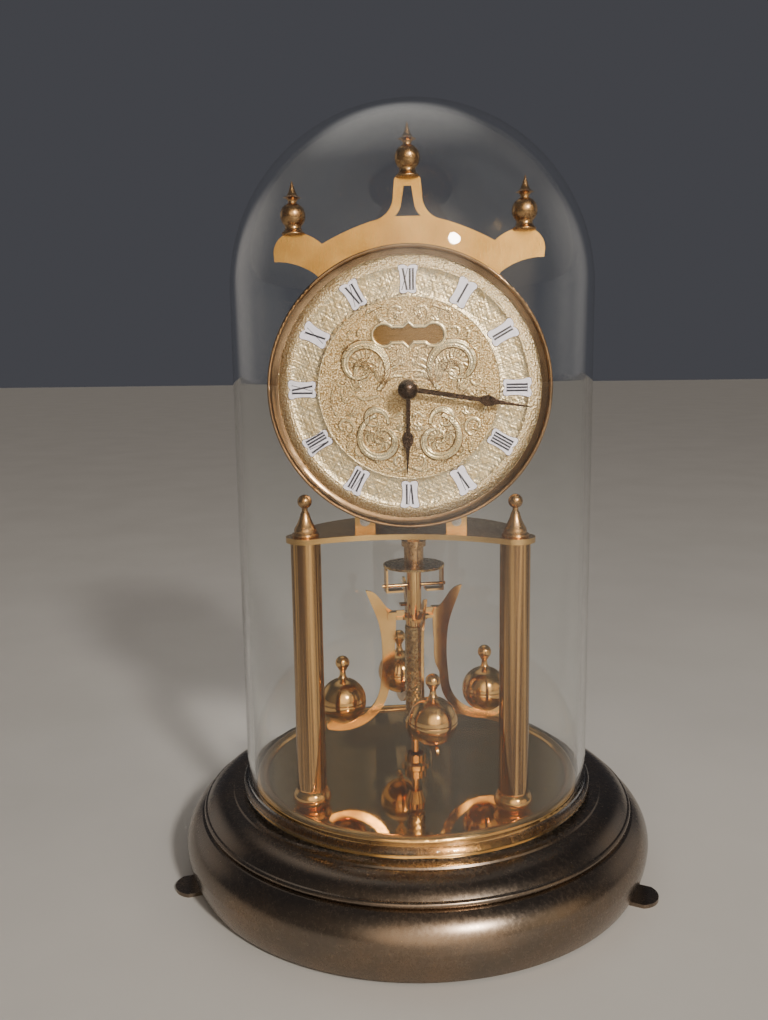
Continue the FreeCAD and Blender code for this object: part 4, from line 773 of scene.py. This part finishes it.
def make_balls():
    """Four two-part balls, each with a seam round its middle, a collar, a neck and a bead."""
    low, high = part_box("pendulum_balls")
    radius, bead, neck, bead_rise = 9.5, 2.9, 1.3, 16.1
    turn = math.radians(15.3)
    orbit = ((high[0] - low[0]) / 2 / MM - radius) / math.cos(turn)
    top = high[2] / MM
    bead_middle = top - bead
    middle = bead_middle - bead_rise
    seam = math.degrees(0.12 / radius)
    profile = [(0.0, middle - radius)]
    profile += arc(middle, radius, -86, -seam, 24)
    profile += [(radius - 0.16, middle)]
    profile += arc(middle, radius, seam, 75.4, 22)
    profile += [(2.0, middle + 9.45), (1.6, middle + 10.2), (neck, middle + 11.0),
                (neck - 0.1, bead_middle - 3.4), (1.7, bead_middle - 2.9), (1.75, bead_middle - 2.6)]
    profile += arc(bead_middle, bead, -50, 88, 16) + [(0.0, top)]
    first = None
    for k in range(4):
        angle = turn + k * math.pi / 2
        at = (orbit * math.cos(angle), orbit * math.sin(angle))
        ball = lathe("ball_%d" % k, profile, at, BRASS, "pendulum", 72)
        first = first or ball
    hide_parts("pendulum_balls")


def make_sleeve():
    """The embossed tube round the pendulum's column: crossed bands of leaves between beaded rings."""
    low, high, radius, end_radius = 60.5, 99.0, 3.86, 3.78
    rows = 190

    def relief(angle, height):
        """How far the pattern stands out."""
        along = (height - low) / (high - low)
        ends = min(1.0, 12 * along, 12 * (1 - along))
        leaves = math.sin(5 * angle + 1.05 * height) * math.sin(5 * angle - 1.05 * height)
        beads = 0.5 + 0.5 * math.cos(9 * angle) if along < 0.03 or along > 0.97 else 0.0
        return 0.16 * abs(leaves) ** 0.6 * ends + 0.14 * beads

    profile = [(0.0, low + 0.01), (end_radius, low)]
    profile += [(radius, low + (high - low) * k / rows) for k in range(1, rows)]
    profile += [(end_radius, high), (0.0, high - 0.01)]
    lathe("column_sleeve", profile, (0.0, 0.0), FILIGREE, "pendulum", 120, relief)


# ---------------------------------------------------------------- floor, light and camera
def make_floor():
    """A wide plain floor at the level that the base stands on."""
    mesh = bpy.data.meshes.new("floor")
    half = 6.0
    corners = [(-half, -half, 0), (half, -half, 0), (half, half, 0), (-half, half, 0)]
    mesh.from_pydata(corners, [], [(0, 1, 2, 3)])
    mesh.materials.append(floor_paint())
    floor = bpy.data.objects.new("floor", mesh)
    bpy.context.scene.collection.objects.link(floor)


def area_light(name, shape, size, power, place, target, colour):
    """A lamp at a place, turned towards a target."""
    light = bpy.data.lights.new(name, "AREA")
    light.shape = shape
    light.size, light.size_y = size
    light.energy = power
    light.color = colour
    item = bpy.data.objects.new(name, light)
    item.location = place
    item.rotation_euler = (Vector(target) - Vector(place)).to_track_quat("-Z", "Y").to_euler()
    bpy.context.scene.collection.objects.link(item)


DIM_ROOM = (0.062, 0.063, 0.072)
# Each glow of the room: its direction, the cosines where it starts and where it is full, its colour.
GLOWS = [
    ((0.0, -0.99, 0.12), 0.1, 0.95, (0.18, 0.155, 0.13)),
    ((0.16, -0.93, 0.33), 0.80, 1.0, (1.7, 1.42, 1.1)),
    ((0.86, -0.46, 0.22), 0.90, 1.0, (0.75, 0.6, 0.42)),
    ((-0.84, 0.5, 0.2), 0.90, 1.0, (0.42, 0.39, 0.36)),
    ((0.84, 0.5, 0.2), 0.90, 1.0, (0.36, 0.34, 0.32)),
    ((-0.1, 0.4, 0.91), 0.85, 1.0, (0.6, 0.58, 0.55)),
]


def make_light():
    """A soft key from the front right in a dim room that glows in front, at both sides and high behind."""
    middle = (0.0, 0.0, 0.15)
    area_light("key", "DISK", (0.15, 0.15), 15.0, (0.57, -1.05, 0.80), middle, (1.0, 0.93, 0.84))
    world = bpy.data.worlds.new("studio")
    world.use_nodes = True
    tree = world.node_tree
    background = tree.nodes["Background"]
    place = tree.nodes.new("ShaderNodeTexCoord")
    room = None
    for towards, start, end, colour in GLOWS:
        facing = tree.nodes.new("ShaderNodeVectorMath")
        facing.operation = "DOT_PRODUCT"
        facing.inputs[1].default_value = towards
        ramp = tree.nodes.new("ShaderNodeMapRange")
        ramp.interpolation_type = "SMOOTHSTEP"
        ramp.inputs["From Min"].default_value = start
        ramp.inputs["From Max"].default_value = end
        mix = tree.nodes.new("ShaderNodeMix")
        mix.data_type = "RGBA"
        mix.inputs[MIX_FIRST].default_value = (*DIM_ROOM, 1.0)
        mix.inputs[MIX_SECOND].default_value = (*colour, 1.0)
        tree.links.new(place.outputs["Generated"], facing.inputs[0])
        tree.links.new(facing.outputs["Value"], ramp.inputs["Value"])
        tree.links.new(ramp.outputs["Result"], mix.inputs[MIX_FACTOR])
        if room is not None:
            tree.links.new(room, mix.inputs[MIX_FIRST])
        room = mix.outputs[MIX_RESULT]
    tree.links.new(room, background.inputs["Color"])
    bpy.context.scene.world = world


def make_camera():
    """A close hand-held view: slightly turned, tilted down and rolled."""
    eye = Vector((0.01447, -0.38693, 0.21095))
    yaw, pitch, roll = math.radians(3.9), math.radians(9.35), math.radians(-0.81)
    right = Vector((math.cos(yaw), math.sin(yaw), 0))
    forward = Vector((-math.sin(yaw) * math.cos(pitch), math.cos(yaw) * math.cos(pitch), -math.sin(pitch)))
    up = right.cross(forward)
    level_right = right * math.cos(roll) + up * math.sin(roll)
    level_up = up * math.cos(roll) - right * math.sin(roll)
    data = bpy.data.cameras.new("camera")
    data.lens = 34.09
    data.clip_start = 0.01
    camera = bpy.data.objects.new("camera", data)
    camera.matrix_world = matrix_from((level_right, level_up, -forward), eye)
    bpy.context.scene.collection.objects.link(camera)
    bpy.context.scene.camera = camera


make_dial_face()
make_plaques()
make_hands()
make_balls()
make_sleeve()
make_floor()
make_light()
make_camera()
